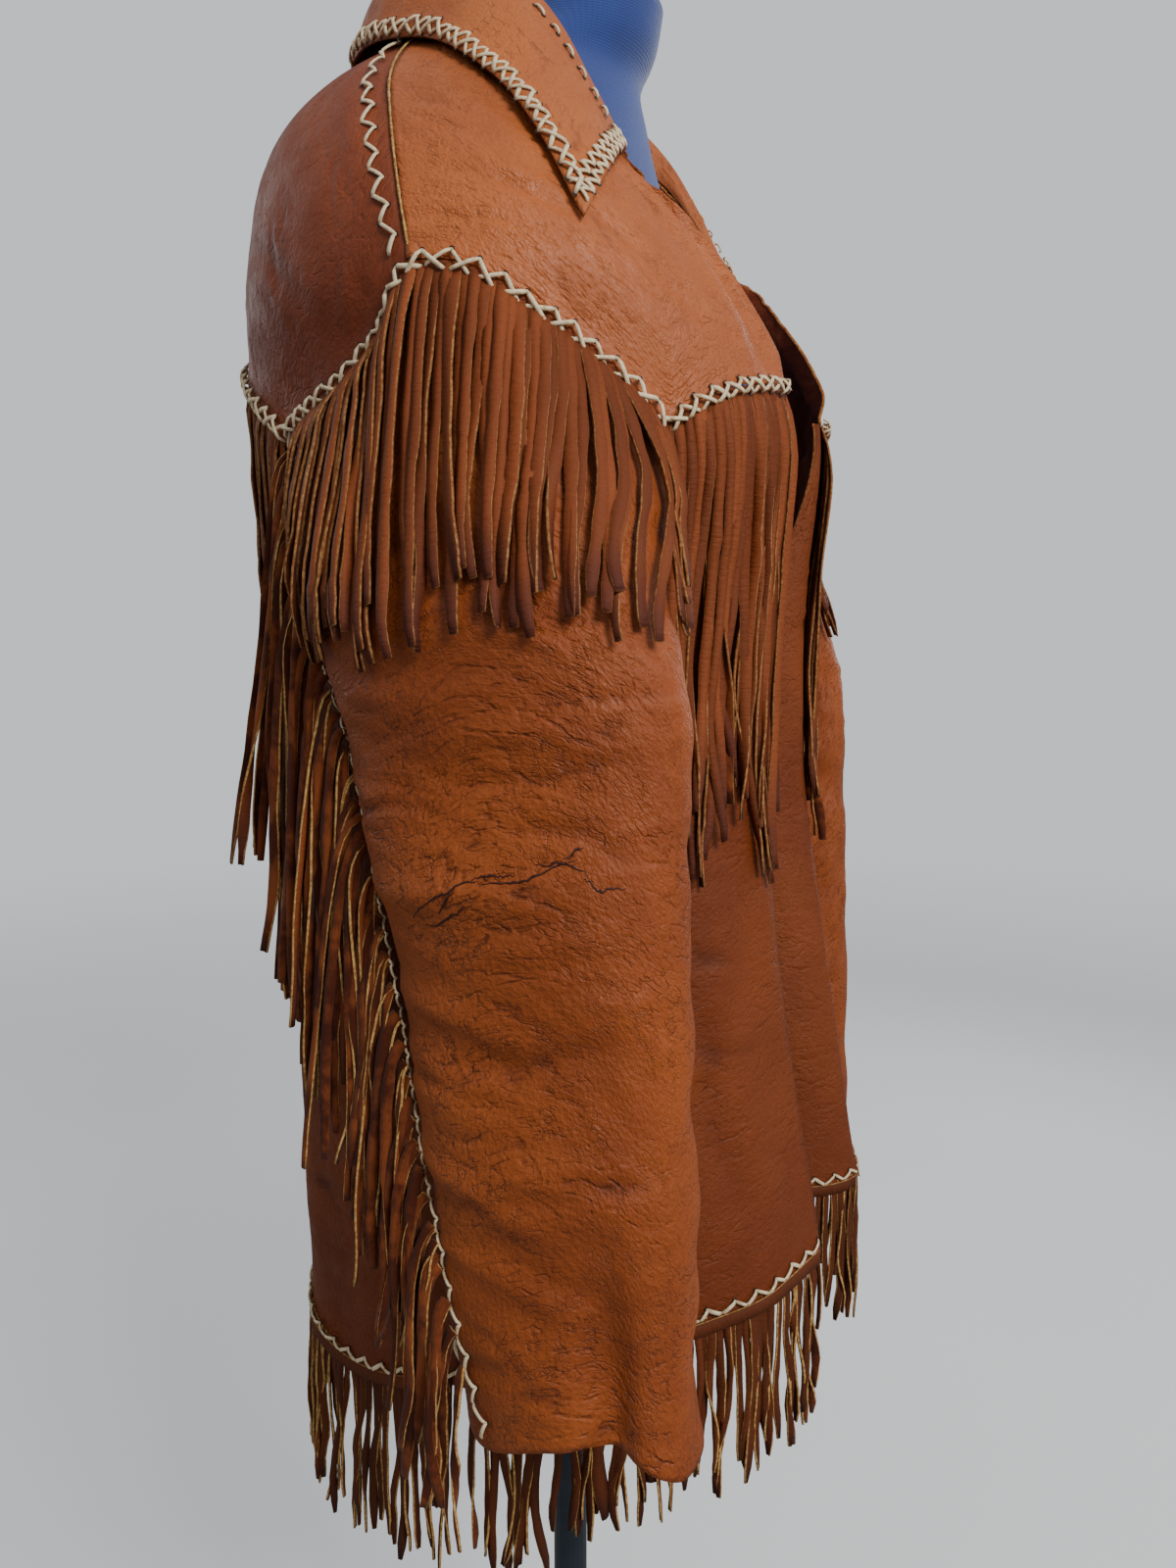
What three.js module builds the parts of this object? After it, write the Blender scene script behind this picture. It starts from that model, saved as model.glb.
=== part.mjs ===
// Fringed, hand-laced buckskin jacket, open at the front, on a limbless dress form with a pole stand.
// Millimetres, +Z up. The front faces -Y and the wearer's left is +X. The origin lies on the floor,
// at the centre of the underside of the stand's base.
//
// Every piece of leather is a thin wall. Its outer points come from one body surface, given by
// level sections, or from one sleeve surface, and its seams are curves on those surfaces.

import * as THREE from 'three';

// ---- leather -------------------------------------------------------------------------------
const SKIN = 2;                 // thickness of the buckskin
const FRINGE_SKIN = 1.6;        // thickness of a fringe strand
const SEAM_GAP = 0.4;           // space between two pieces at a seam
const SQUARENESS = 2.25;        // exponent of the body sections: 2 is an ellipse, more is squarer

// Body sections from the hem's fringe to the neckline: the height, the half width, and how far
// forward or back the front, the side and the back lie.
const BODY = [
  { z: 440, half: 208, front: -217, side: -12, back: 177 },
  { z: 560, half: 205, front: -212, side: -11, back: 178 },
  { z: 700, half: 201, front: -190, side: -9, back: 182 },
  { z: 830, half: 198, front: -171, side: -7, back: 187 },
  { z: 960, half: 196, front: -164, side: -6, back: 195 },
  { z: 1050, half: 197, front: -168, side: -5, back: 201 },
  { z: 1130, half: 206, front: -174, side: -5, back: 201 },
  { z: 1165, half: 218, front: -169, side: -5, back: 200 },
  { z: 1200, half: 229, front: -152, side: -4, back: 199 },
  { z: 1240, half: 223, front: -126, side: 6, back: 197 },
  { z: 1285, half: 202, front: -95, side: 22, back: 192 },
  { z: 1320, half: 174, front: -78, side: 38, back: 183 },
  { z: 1350, half: 142, front: -68, side: 47, back: 164 },
  { z: 1376, half: 107, front: -61, side: 48, back: 138 },
  { z: 1400, half: 76, front: -54, side: 42, back: 96 },
];

// Soft upright waves of the skirt, on the way round from the front (0 degrees) to the back (180).
const SKIRT_WAVES = [
  { phi: 34, width: 9, depth: 5 },
  { phi: 62, width: 10, depth: -6 },
  { phi: 128, width: 10, depth: 6 },
  { phi: 152, width: 9, depth: -6 },
];
const WAVES_TOP = 980;          // the waves start here and are full at the hem
const WAVES_FULL = 560;

// ---- seams, as curves on the body surface ----------------------------------------------------
const FRONT_CORNER = 49;        // where the yoke, the front and the sleeve meet, degrees round
const BACK_CORNER = 120;        // where the yoke, the back and the sleeve meet
const SIDE = 90;                // the shoulder seam and the side seam
const BACK = 180;               // the middle of the back
const UNDERARM = 1005;          // height of the armhole's lowest point

// The hem is highest in front and hangs lowest behind the sleeves.
const HEM = [
  { phi: 0, z: 604 },
  { phi: 30, z: 602 },
  { phi: 60, z: 586 },
  { phi: SIDE, z: 555 },
  { phi: 115, z: 540 },
  { phi: 145, z: 560 },
  { phi: BACK, z: 578 },
];
const YOKE_SEAM = [
  { phi: 15, z: 1157 },
  { phi: 31, z: 1149 },
  { phi: 42, z: 1137 },
  { phi: FRONT_CORNER, z: 1122 },
  { phi: 60, z: 1154 },
  { phi: 70, z: 1178 },
  { phi: 80, z: 1197 },
  { phi: SIDE, z: 1202 },
  { phi: 95, z: 1172 },
  { phi: 104, z: 1151 },
  { phi: BACK_CORNER, z: 1129 },
  { phi: 146, z: 1176 },
  { phi: BACK, z: 1212 },
];
const YOKE_SEAM_EDGE = 1157;    // height of the yoke seam at the free front edge
const CAP_COLUMNS = 7;          // grid columns of the sleeve's head, before and behind the shoulder
const ARM_COLUMNS = 5;          // grid columns under the arm, before and behind the side seam
const ARMHOLE = [
  { phi: FRONT_CORNER, z: 1122 },
  { phi: 55, z: 1068 },
  { phi: 69, z: 1021 },
  { phi: SIDE, z: UNDERARM },
  { phi: 104, z: 1022 },
  { phi: 114, z: 1066 },
  { phi: BACK_CORNER, z: 1129 },
];
// The free front edge, by its distance from the middle line.
const FRONT_EDGE = [
  { z: 440, x: 60 },
  { z: 1156, x: 65 },
  { z: 1200, x: 74 },
  { z: 1231, x: 86 },
  { z: 1284, x: 112 },
];
// The strip beyond the left front's fold line: its share of the panel's way round, its width, its
// headings at the fold and at the cut edge, and where it narrows to its least part at the top.
const TURN_IN = { share: 0.24, width: 46, from: 14, to: 66, fade: 0.34, least: 0.12 };
// From the collar's front end to the middle of the back: the neckline, the collar's outer edge and
// how far the collar stands above the neckline before it folds over.
const NECK = [
  { along: 0, phi: 31, z: 1284, edgePhi: 55, edgeZ: 1223, stand: 6 },
  { along: 0.18, phi: 35, z: 1312, edgePhi: 58, edgeZ: 1282, stand: 10 },
  { along: 0.36, phi: 46, z: 1346, edgePhi: 68, edgeZ: 1320, stand: 18 },
  { along: 0.55, phi: 70, z: 1378, edgePhi: 88, edgeZ: 1354, stand: 30 },
  { along: 0.75, phi: 108, z: 1397, edgePhi: 120, edgeZ: 1371, stand: 42 },
  { along: 1, phi: BACK, z: 1400, edgePhi: BACK, edgeZ: 1380, stand: 46 },
];
const COLLAR_INSET = 3.4;       // how far the collar's front end lies inside the steep neckline
const COLLAR_CLEAR = 6;         // space between the yoke and the collar's outer edge
const COLLAR_BULGE = 7;         // how far the fall rounds out between its fold and its edge
const COLLAR_FOLD = 7;          // how far the fold leans out from the stand

// ---- sleeves ------------------------------------------------------------------------------
// Sections of the right sleeve, mirrored for the left: the height, the distance of the middle from
// the middle line, and the places of the front and back edges.
const SLEEVE = [
  { z: 560, x: 254, thick: 36, front: -172, back: -44 },
  { z: 610, x: 253, thick: 38, front: -171, back: -40 },
  { z: 711, x: 250, thick: 41, front: -168, back: -24 },
  { z: 824, x: 246, thick: 42, front: -164, back: -2 },
  { z: 938, x: 243, thick: 42, front: -160, back: 24 },
  { z: 1000, x: 242, thick: 41, front: -157, back: 46 },
  { z: 1080, x: 240, thick: 38, front: -150, back: 74 },
  { z: 1160, x: 238, thick: 32, front: -128, back: 86 },
  { z: 1215, x: 236, thick: 24, front: -100, back: 80 },
];
const CUFF = 590;               // height of the cuff
const CUFF_WAVE = 9;            // how far the cuff's edge rises and falls
const SLEEVE_TURN = 110;        // degrees from the sleeve's outer line to its front and back corners
const CAP_SHARE = 0.34;         // share of the sleeve's length over which the armhole rounds out
const CUFF_FOLD = { turn: 24, width: 13, depth: 13, top: 760 };
// Crosswise rolls of the sleeve's outer side: height, reach up and down, and depth.
const SLEEVE_ROLLS = [
  { z: 1010, reach: 20, depth: 4 },
  { z: 940, reach: 16, depth: -3 },
  { z: 880, reach: 22, depth: 5 },
  { z: 800, reach: 20, depth: -4 },
  { z: 730, reach: 18, depth: 3 },
];

// ---- fringe -------------------------------------------------------------------------------
const FRINGE_STRIP = 8;         // height of the uncut strip that the strands hang from
const STRAND_SHARE = 0.6;       // a strand's part of the space from one strand to the next
const FRINGE_CLEAR = 3.4;       // space between the cloth and a hanging strand
const CAP_FRINGE = { strands: 22, front: 78, middle: 200, back: 110, lift: 2.5, plumb: 0.9, end: 0.93 };
const CHEST_FRINGE = { strands: 14, corner: 275, edge: 300 };
const BACK_FRINGE = { strands: 26, side: 130, middle: 190 };
const ARM_FRINGE = { strands: 22, top: 1100, bottom: 625, upper: 255, lower: 120, leanTop: 4, leanBottom: 5 };
// Degrees round the sleeve; near the cuff the seam sweeps forward, from this share of the way down.
const ARM_SEAM = { top: 96, bottom: 58, sweep: 16, from: 0.75 };
const HEM_FRINGE = { frontStrands: 13, backStrands: 28, length: 112 };

// ---- dress form ---------------------------------------------------------------------------
const FORM = [
  { z: 762, half: 138, front: -104, back: 104 },
  { z: 790, half: 156, front: -118, back: 122 },
  { z: 850, half: 162, front: -122, back: 130 },
  { z: 930, half: 150, front: -106, back: 116 },
  { z: 1030, half: 126, front: -92, back: 104 },
  { z: 1110, half: 142, front: -118, back: 124 },
  { z: 1170, half: 158, front: -138, back: 142 },
  { z: 1225, half: 172, front: -112, back: 152 },
  { z: 1275, half: 182, front: -78, back: 150 },
  { z: 1305, half: 172, front: -62, back: 142 },
  { z: 1335, half: 138, front: -54, back: 126 },
  { z: 1360, half: 104, front: -50, back: 106 },
  { z: 1382, half: 74, front: -48, back: 76 },
  { z: 1400, half: 58, front: -60, back: 46 },
  { z: 1428, half: 55, front: -66, back: 38 },
];
const NECK_CAP = { radius: 48, rim: 8, height: 22, y: -14 };
const POLE = { radius: 13, y: 0 };
const BASE = { radius: 175, edge: 10, hub: 24, hubRadius: 30 };
const STACK_GAP = 0.3;          // space between the base, the pole, the torso and the cap

// ---- colours and finishes --------------------------------------------------------------------
const finish = (color, roughness, metalness = 0) =>
  new THREE.MeshStandardMaterial({ color, roughness, metalness, side: THREE.DoubleSide });
const BUCKSKIN = finish(0xb25c30, 0.62);
const YOKE_SKIN = finish(0x9c4e2b, 0.6);
const FRINGE_LEATHER = finish(0x8a4a2c, 0.74);
const FORM_CLOTH = finish(0x1f3f96, 0.85);
const CAP_PLASTIC = finish(0x34383c, 0.35);
const STAND_STEEL = finish(0x2b333d, 0.45, 0.8);

const jacket = new THREE.Group();

// ---- small tools ------------------------------------------------------------------------------
const radians = THREE.MathUtils.degToRad;
const mix = THREE.MathUtils.lerp;
const vec = (x, y, z) => new THREE.Vector3(x, y, z);

// A smooth curve through one column of a table, whose rows rise in the key column.
function column(rows, key, name, at) {
  let i = 0;
  while (i < rows.length - 2 && at > rows[i + 1][key]) i += 1;
  const slope = (k) => {
    const lower = rows[Math.max(k - 1, 0)];
    const upper = rows[Math.min(k + 1, rows.length - 1)];
    return (upper[name] - lower[name]) / (upper[key] - lower[key]);
  };
  const [a, b] = [rows[i], rows[i + 1]];
  const span = b[key] - a[key];
  const t = THREE.MathUtils.clamp((at - a[key]) / span, 0, 1);
  const eased = (2 * t - 3) * t * t;
  return a[name] * (1 + eased) - b[name] * eased
    + slope(i) * span * t * (1 - t) * (1 - t) - slope(i + 1) * span * t * t * (1 - t);
}

// The same with straight stretches, so that a seam keeps its corners.
function straight(rows, key, name, at) {
  let i = 0;
  while (i < rows.length - 2 && at > rows[i + 1][key]) i += 1;
  const [a, b] = [rows[i], rows[i + 1]];
  return mix(a[name], b[name], THREE.MathUtils.clamp((at - a[key]) / (b[key] - a[key]), 0, 1));
}

const bump = (distance, width) => Math.exp(-((distance / width) ** 2));
const uneven = (k) => Math.abs(Math.sin(12.9898 * (k + 1)) * 437.585) % 1;

// ---- thin walls -------------------------------------------------------------------------------
// points and normals are lists of vectors, and quads name four points each. The wall reaches
// outward and inward from the points, and every open edge gets a rim.
function thicken(points, normals, quads, outward, inward) {
  const count = points.length;
  const place = [];
  for (const [reach, sign] of [[outward, 1], [inward, -1]]) {
    points.forEach((p, k) => place.push(...p.clone().addScaledVector(normals[k], sign * reach).toArray()));
  }
  const faces = [];
  const quad = (a, b, c, d) => faces.push(a, b, c, a, c, d);
  const edges = new Map();
  for (const [a, b, c, d] of quads) {
    quad(a, b, c, d);
    quad(d + count, c + count, b + count, a + count);
    for (const [from, to] of [[a, b], [b, c], [c, d], [d, a]]) edges.set(`${from},${to}`, [from, to]);
  }
  for (const [from, to] of edges.values()) {
    if (!edges.has(`${to},${from}`)) quad(to, from, from + count, to + count);
  }
  return solid(place, faces);
}

// A closed mesh with its faces turned outward.
function solid(place, faces) {
  const corner = (k) => vec(place[3 * k], place[3 * k + 1], place[3 * k + 2]);
  let volume = 0;
  for (let k = 0; k < faces.length; k += 3) {
    volume += corner(faces[k]).dot(corner(faces[k + 1]).cross(corner(faces[k + 2])));
  }
  if (volume < 0) faces.reverse();
  const geometry = new THREE.BufferGeometry();
  geometry.setAttribute('position', new THREE.Float32BufferAttribute(place, 3));
  geometry.setIndex(faces);
  geometry.computeVertexNormals();
  return geometry;
}

function add(name, geometry, material) {
  const mesh = new THREE.Mesh(geometry, material);
  mesh.name = name;
  jacket.add(mesh);
}

// The normal of a surface at (u, v), on the side that faces away from the given point.
function normalOf(surface, u, v, inside) {
  const step = 0.002;
  const across = surface(Math.min(u + step, 1), v).sub(surface(Math.max(u - step, 0), v));
  const up = surface(u, Math.min(v + step, 1)).sub(surface(u, Math.max(v - step, 0)));
  const normal = across.cross(up).normalize();
  const outward = surface(u, v).sub(inside);
  return normal.dot(outward) < 0 ? normal.negate() : normal;
}

// A panel over u and v from 0 to 1. stops are the places of the grid's columns, and a closed panel
// joins its last column to its first.
function panel(name, surface, stops, rows, insideOf, material, closed = false) {
  const points = [];
  const normals = [];
  const columns = closed ? stops.length - 1 : stops.length;
  for (let i = 0; i < columns; i += 1) {
    for (let j = 0; j <= rows; j += 1) {
      const point = surface(stops[i], j / rows);
      points.push(point);
      normals.push(normalOf(surface, stops[i], j / rows, insideOf(point)));
    }
  }
  const index = (i, j) => (i % columns) * (rows + 1) + j;
  const quads = [];
  for (let i = 0; i < stops.length - 1; i += 1) {
    for (let j = 0; j < rows; j += 1) {
      quads.push([index(i, j), index(i + 1, j), index(i + 1, j + 1), index(i, j + 1)]);
    }
  }
  add(name, thicken(points, normals, quads, 0, SKIN), material);
}

const evenly = (count, from = 0, to = 1) =>
  Array.from({ length: count + 1 }, (_, k) => mix(from, to, k / count));

// ---- the body surface -------------------------------------------------------------------------
// side is -1 on the wearer's right and 1 on the left; phi runs from 0 in front to 180 at the back.
function bodyPoint(side, phi, z) {
  const half = column(BODY, 'z', 'half', z);
  const middle = column(BODY, 'z', 'side', z);
  const end = column(BODY, 'z', phi < SIDE ? 'front' : 'back', z);
  const across = Math.abs(Math.sin(radians(phi))) ** (2 / SQUARENESS);
  const along = Math.abs(Math.cos(radians(phi))) ** (2 / SQUARENESS);
  const full = 1 - THREE.MathUtils.smoothstep(z, WAVES_FULL, WAVES_TOP);
  let grow = 1;
  for (const wave of SKIRT_WAVES) grow += (full * wave.depth * bump(phi - wave.phi, wave.width)) / half;
  return vec(side * half * across * grow, middle + (end - middle) * along * grow, z);
}

const bodyAxis = (point) => vec(0, 20, point.z);
const shoulderInside = (point) => vec(0, 30, Math.min(point.z, 1240));

function bodyNormal(side, phi, z) {
  const surface = (u, v) => bodyPoint(side, phi + 4 * (u - 0.5), z + 8 * (v - 0.5));
  return normalOf(surface, 0.5, 0.5, shoulderInside(vec(0, 0, z)));
}

const hemHeight = (phi) => column(HEM, 'phi', 'z', phi);
const yokeHeight = (phi) => straight(YOKE_SEAM, 'phi', 'z', phi);
const armholeHeight = (phi) => straight(ARMHOLE, 'phi', 'z', phi);

// How far round the free front edge lies at a height.
function edgePhi(z) {
  const x = column(FRONT_EDGE, 'z', 'x', z);
  return THREE.MathUtils.radToDeg(Math.asin((x / column(BODY, 'z', 'half', z)) ** (SQUARENESS / 2)));
}

// A patch between four edges, each of which gives (phi, z).
function patch(side, bottom, top, left, right) {
  return (u, v) => {
    const place = ['x', 'y'].map((k) => mix(bottom(u)[k], top(u)[k], v) + mix(left(v)[k], right(v)[k], u)
      - mix(mix(bottom(0)[k], bottom(1)[k], u), mix(top(0)[k], top(1)[k], u), v));
    return bodyPoint(side(place[0]), Math.abs(place[0]), place[1]);
  };
}
const on = (phi, z) => new THREE.Vector2(phi, z);

// ---- fronts, back and yokes ----------------------------------------------------------------------
// A seam on the body between two places round it, by its share of the seam's length.
function seamPath(height, from, to) {
  const samples = evenly(120, from, to).map((phi) => ({ phi, point: bodyPoint(1, phi, height(phi)) }));
  const lengths = [0];
  for (let k = 1; k < samples.length; k += 1) {
    lengths.push(lengths[k - 1] + samples[k].point.distanceTo(samples[k - 1].point));
  }
  const total = lengths.at(-1);
  return (share) => {
    let k = 1;
    while (k < samples.length - 1 && lengths[k] < share * total) k += 1;
    const t = (share * total - lengths[k - 1]) / (lengths[k] - lengths[k - 1]);
    return mix(samples[k - 1].phi, samples[k].phi, t);
  };
}

// The grid columns that two pieces share at their seam, by their places round the body.
const FRONT_TOP_PHI = edgePhi(YOKE_SEAM_EDGE);
const GAP_PHI = THREE.MathUtils.radToDeg(SEAM_GAP / 200);
const CAP_FRONT = seamPath(yokeHeight, FRONT_CORNER, SIDE);
const CAP_BACK = seamPath(yokeHeight, SIDE, BACK_CORNER);
const ARM_FRONT = seamPath(armholeHeight, FRONT_CORNER, SIDE);
const ARM_BACK = seamPath(armholeHeight, SIDE, BACK_CORNER);
const chestColumns = evenly(6, FRONT_TOP_PHI, FRONT_CORNER);
const capFrontColumns = evenly(CAP_COLUMNS).map(CAP_FRONT);
const capBackColumns = evenly(CAP_COLUMNS).map(CAP_BACK);
const armFrontColumns = evenly(ARM_COLUMNS).map(ARM_FRONT);
const armBackColumns = evenly(ARM_COLUMNS).map(ARM_BACK);
const bladeColumns = evenly(6, BACK_CORNER, BACK);
const joined = (...lists) => lists.reduce((all, list) => [...all, ...list.slice(1)]);
const shares = (phis, from, to) => phis.map((phi) => THREE.MathUtils.clamp((phi - from) / (to - from), 0, 1));
// From the right side over the back to the left side.
const bothSides = (phis) => {
  const half = phis.map((phi) => (phi - SIDE) / (2 * SIDE));
  return [...half, ...half.slice(0, -1).reverse().map((u) => 1 - u)];
};

function frontPanel(side) {
  const start = (z) => edgePhi(z);
  const stopPhi = (u) => mix(FRONT_TOP_PHI, SIDE - GAP_PHI, u);
  const bottom = (u) => {
    const phi = mix(start(hemHeight(15)), SIDE - GAP_PHI, u);
    return on(phi, hemHeight(phi));
  };
  const top = (u) => {
    const phi = stopPhi(u);
    return on(phi, (phi < FRONT_CORNER ? yokeHeight(phi) : armholeHeight(phi)) - SEAM_GAP);
  };
  const left = (v) => {
    const z = mix(bottom(0).y, top(0).y, v);
    return on(start(z), z);
  };
  const right = (v) => on(SIDE - GAP_PHI, mix(bottom(1).y, top(1).y, v));
  const surface = patch(() => side, bottom, top, left, right);
  return { surface, stops: shares(joined(chestColumns, armFrontColumns), FRONT_TOP_PHI, SIDE) };
}

// The left front goes on past its fold line in a strip that turns in towards the form. The strip
// narrows upwards and ends the panel at u = 0.
function turnedIn(panelAt) {
  const { share, width, from, to, fade, least } = TURN_IN;
  const surface = (u, v) => {
    const at = mix(-share, 1, u);
    const along = Math.max(0, -at / share);
    const reach = width * mix(least, 1, THREE.MathUtils.smoothstep(1 - v, 0, fade));
    const heading = radians(mix(from, to, along / 2));
    const inward = vec(-Math.cos(heading), Math.sin(heading), 0);
    return panelAt.surface(Math.max(at, 0), v).addScaledVector(inward, reach * along);
  };
  const stops = [...evenly(3, -share, 0).slice(0, -1), ...panelAt.stops];
  return { surface, stops: stops.map((at) => (at + share) / (1 + share)) };
}

function backPanel() {
  // u runs from the right side seam over the back to the left one, and phi is measured from the front.
  const turn = (u) => mix(-SIDE + GAP_PHI, SIDE - GAP_PHI, u);
  const round = (angle) => BACK - Math.abs(angle);
  const bottom = (u) => on(turn(u), hemHeight(round(turn(u))));
  const top = (u) => {
    const phi = round(turn(u));
    return on(turn(u), (phi > BACK_CORNER ? yokeHeight(phi) : armholeHeight(phi)) - SEAM_GAP);
  };
  const surface = (u, v) => {
    const place = on(turn(u), mix(bottom(u).y, top(u).y, v));
    return bodyPoint(place.x < 0 ? -1 : 1, round(place.x), place.y);
  };
  return { surface, stops: bothSides(joined(armBackColumns, bladeColumns)) };
}

const neck = (name, along) => column(NECK, 'along', name, along);
// The place along the collar at which the neckline crosses a given phi.
function alongAt(phi) {
  let [low, high] = [0, 1];
  for (let k = 0; k < 30; k += 1) {
    const middle = (low + high) / 2;
    if (neck('phi', middle) < phi) low = middle;
    else high = middle;
  }
  return low;
}
const SHOULDER_ALONG = alongAt(SIDE);

function frontYoke(side) {
  const top = (u) => {
    const along = mix(0, SHOULDER_ALONG, u);
    return on(neck('phi', along) - (u === 1 ? GAP_PHI : 0), neck('z', along));
  };
  const bottom = (u) => {
    const phi = mix(FRONT_TOP_PHI, SIDE - GAP_PHI, u);
    return on(phi, yokeHeight(phi));
  };
  const left = (v) => {
    const z = mix(bottom(0).y, top(0).y, v);
    return on(edgePhi(z), z);
  };
  const right = (v) => on(SIDE - GAP_PHI, mix(bottom(1).y, top(1).y, v));
  return {
    surface: patch(() => side, bottom, top, left, right),
    stops: shares(joined(chestColumns, capFrontColumns), FRONT_TOP_PHI, SIDE),
  };
}

function backYoke() {
  const turn = (u) => mix(-SIDE + GAP_PHI, SIDE - GAP_PHI, u);
  const surface = (u, v) => {
    const phi = BACK - Math.abs(turn(u));
    const side = turn(u) < 0 ? -1 : 1;
    return bodyPoint(side, phi, mix(yokeHeight(phi), neck('z', alongAt(phi)), v));
  };
  return { surface, stops: bothSides(joined(capBackColumns, bladeColumns)) };
}

// ---- sleeves ---------------------------------------------------------------------------------
// The sleeve's section at a height. turn is 0 on its outer line, positive to the front.
function sleeveSection(side, turn, z) {
  const front = column(SLEEVE, 'z', 'front', z);
  const back = column(SLEEVE, 'z', 'back', z);
  const angle = radians(turn);
  const squared = (value) => Math.sign(value) * Math.abs(value) ** (2 / SQUARENESS);
  let out = column(SLEEVE, 'z', 'thick', z) * squared(Math.cos(angle));
  const outside = Math.max(0, Math.cos(angle));
  for (const roll of SLEEVE_ROLLS) out += roll.depth * bump(z - roll.z, roll.reach) * outside;
  const folded = 1 - THREE.MathUtils.smoothstep(z, CUFF, CUFF_FOLD.top);
  out -= CUFF_FOLD.depth * folded * bump(turn - CUFF_FOLD.turn, CUFF_FOLD.width);
  return vec(
    side * (column(SLEEVE, 'z', 'x', z) + out),
    (front + back) / 2 - ((back - front) / 2) * squared(Math.sin(angle)),
    z,
  );
}

// The sleeve's surface: u goes round from the front corner over the shoulder to the back corner at
// OUTER_SHARE, and on under the arm to the front corner; v goes from the armhole to the cuff.
const OUTER_SHARE = 0.62;
function sleeveSurface(side) {
  const over = (share) => (share < 0.5 ? CAP_FRONT(2 * share) : CAP_BACK(2 * share - 1));
  const under = (share) => (share < 0.5 ? ARM_BACK(1 - 2 * share) : ARM_FRONT(2 - 2 * share));
  return (u, v) => {
    const outer = u <= OUTER_SHARE;
    const share = outer ? u / OUTER_SHARE : (u - OUTER_SHARE) / (1 - OUTER_SHARE);
    const phi = outer ? over(share) : under(share);
    const height = outer ? yokeHeight(phi) : armholeHeight(phi);
    const turn = outer
      ? mix(SLEEVE_TURN, -SLEEVE_TURN, share)
      : mix(-SLEEVE_TURN, SLEEVE_TURN - 360, share);
    const head = bodyPoint(side, phi, height - SEAM_GAP);
    const apart = outer ? 0 : SEAM_GAP + 0.8 * Math.sin(Math.PI * share);
    head.addScaledVector(bodyNormal(side, phi, height), apart);
    const cuff = CUFF + CUFF_WAVE * Math.sin(radians(3 * turn + 40));
    const z = mix(head.z, cuff, v);
    const ring = sleeveSection(side, turn, z);
    const blend = THREE.MathUtils.smoothstep(v, -CAP_SHARE / 2, CAP_SHARE) * 1.35 - 0.35;
    return vec(mix(head.x, ring.x, blend), mix(head.y, ring.y, blend), z);
  };
}

function sleeve(side, name) {
  const surface = sleeveSurface(side);
  const stops = joined(evenly(2 * CAP_COLUMNS, 0, OUTER_SHARE), evenly(2 * ARM_COLUMNS, OUTER_SHARE, 1));
  const rowsAt = (v) => v ** 1.25;
  const inside = (point) => vec(side * column(SLEEVE, 'z', 'x', point.z),
    (column(SLEEVE, 'z', 'front', point.z) + column(SLEEVE, 'z', 'back', point.z)) / 2, point.z - 30);
  panel(name, (u, v) => surface(u, rowsAt(v)), stops, 13, inside, BUCKSKIN, true);
}

// ---- collar ----------------------------------------------------------------------------------
// u goes from the right front end round the neck to the left one. v goes from the neckline up the
// stand, over the fold and down the fall to the outer edge.
const STAND_SHARE = 0.3;
function collarSurface(u, v) {
  const side = u < 0.5 ? -1 : 1;
  const along = 1 - Math.abs(2 * u - 1);
  const base = bodyPoint(side, neck('phi', along), neck('z', along));
  const outward = vec(base.x, base.y - 20, 0).normalize();
  base.z += SEAM_GAP + 0.3;
  base.x -= side * mix(COLLAR_INSET, 0, Math.min(1, along / 0.4));
  const stand = neck('stand', along);
  const lean = outward.clone().multiplyScalar(COLLAR_FOLD * Math.min(1, stand / 20));
  const fold = base.clone().add(lean).add(vec(0, 0, stand));
  if (v < STAND_SHARE) {
    const t = v / STAND_SHARE;
    const inward = outward.clone().multiplyScalar(-2.5 * Math.sin(Math.PI * t));
    return base.clone().lerp(fold, t).add(inward);
  }
  const t = (v - STAND_SHARE) / (1 - STAND_SHARE);
  const edge = bodyPoint(side, neck('edgePhi', along), neck('edgeZ', along));
  edge.addScaledVector(bodyNormal(side, neck('edgePhi', along), neck('edgeZ', along)), COLLAR_CLEAR);
  const bulge = outward.clone().add(vec(0, 0, 0.8)).multiplyScalar(COLLAR_BULGE * Math.sin(Math.PI * t));
  return fold.clone().lerp(edge, t).add(bulge);
}

function collar() {
  const rows = [0, 0.22, 0.3, 0.36, 0.55, 0.78, 1];
  const half = shares(joined(chestColumns, capFrontColumns), FRONT_TOP_PHI, SIDE)
    .map((u) => u * SHOULDER_ALONG).concat(joined(capBackColumns, bladeColumns).slice(1).map(alongAt));
  const right = half.map((along) => along / 2);
  const stops = [...right, ...right.slice(0, -1).reverse().map((u) => 1 - u)];
  const points = [];
  const normals = [];
  for (const u of stops) {
    for (const v of rows) {
      points.push(collarSurface(u, v));
      const step = 0.012;
      const acrossU = collarSurface(Math.min(u + step, 1), v).sub(collarSurface(Math.max(u - step, 0), v));
      const alongV = collarSurface(u, Math.min(v + step, 1)).sub(collarSurface(u, Math.max(v - step, 0)));
      normals.push(alongV.cross(acrossU).normalize());
    }
  }
  const index = (i, j) => i * rows.length + j;
  const quads = [];
  for (let i = 0; i < stops.length - 1; i += 1) {
    for (let j = 0; j < rows.length - 1; j += 1) {
      quads.push([index(i, j), index(i + 1, j), index(i + 1, j + 1), index(i, j + 1)]);
    }
  }
  add('collar', thicken(points, normals, quads, 0, SKIN), BUCKSKIN);
}

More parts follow.
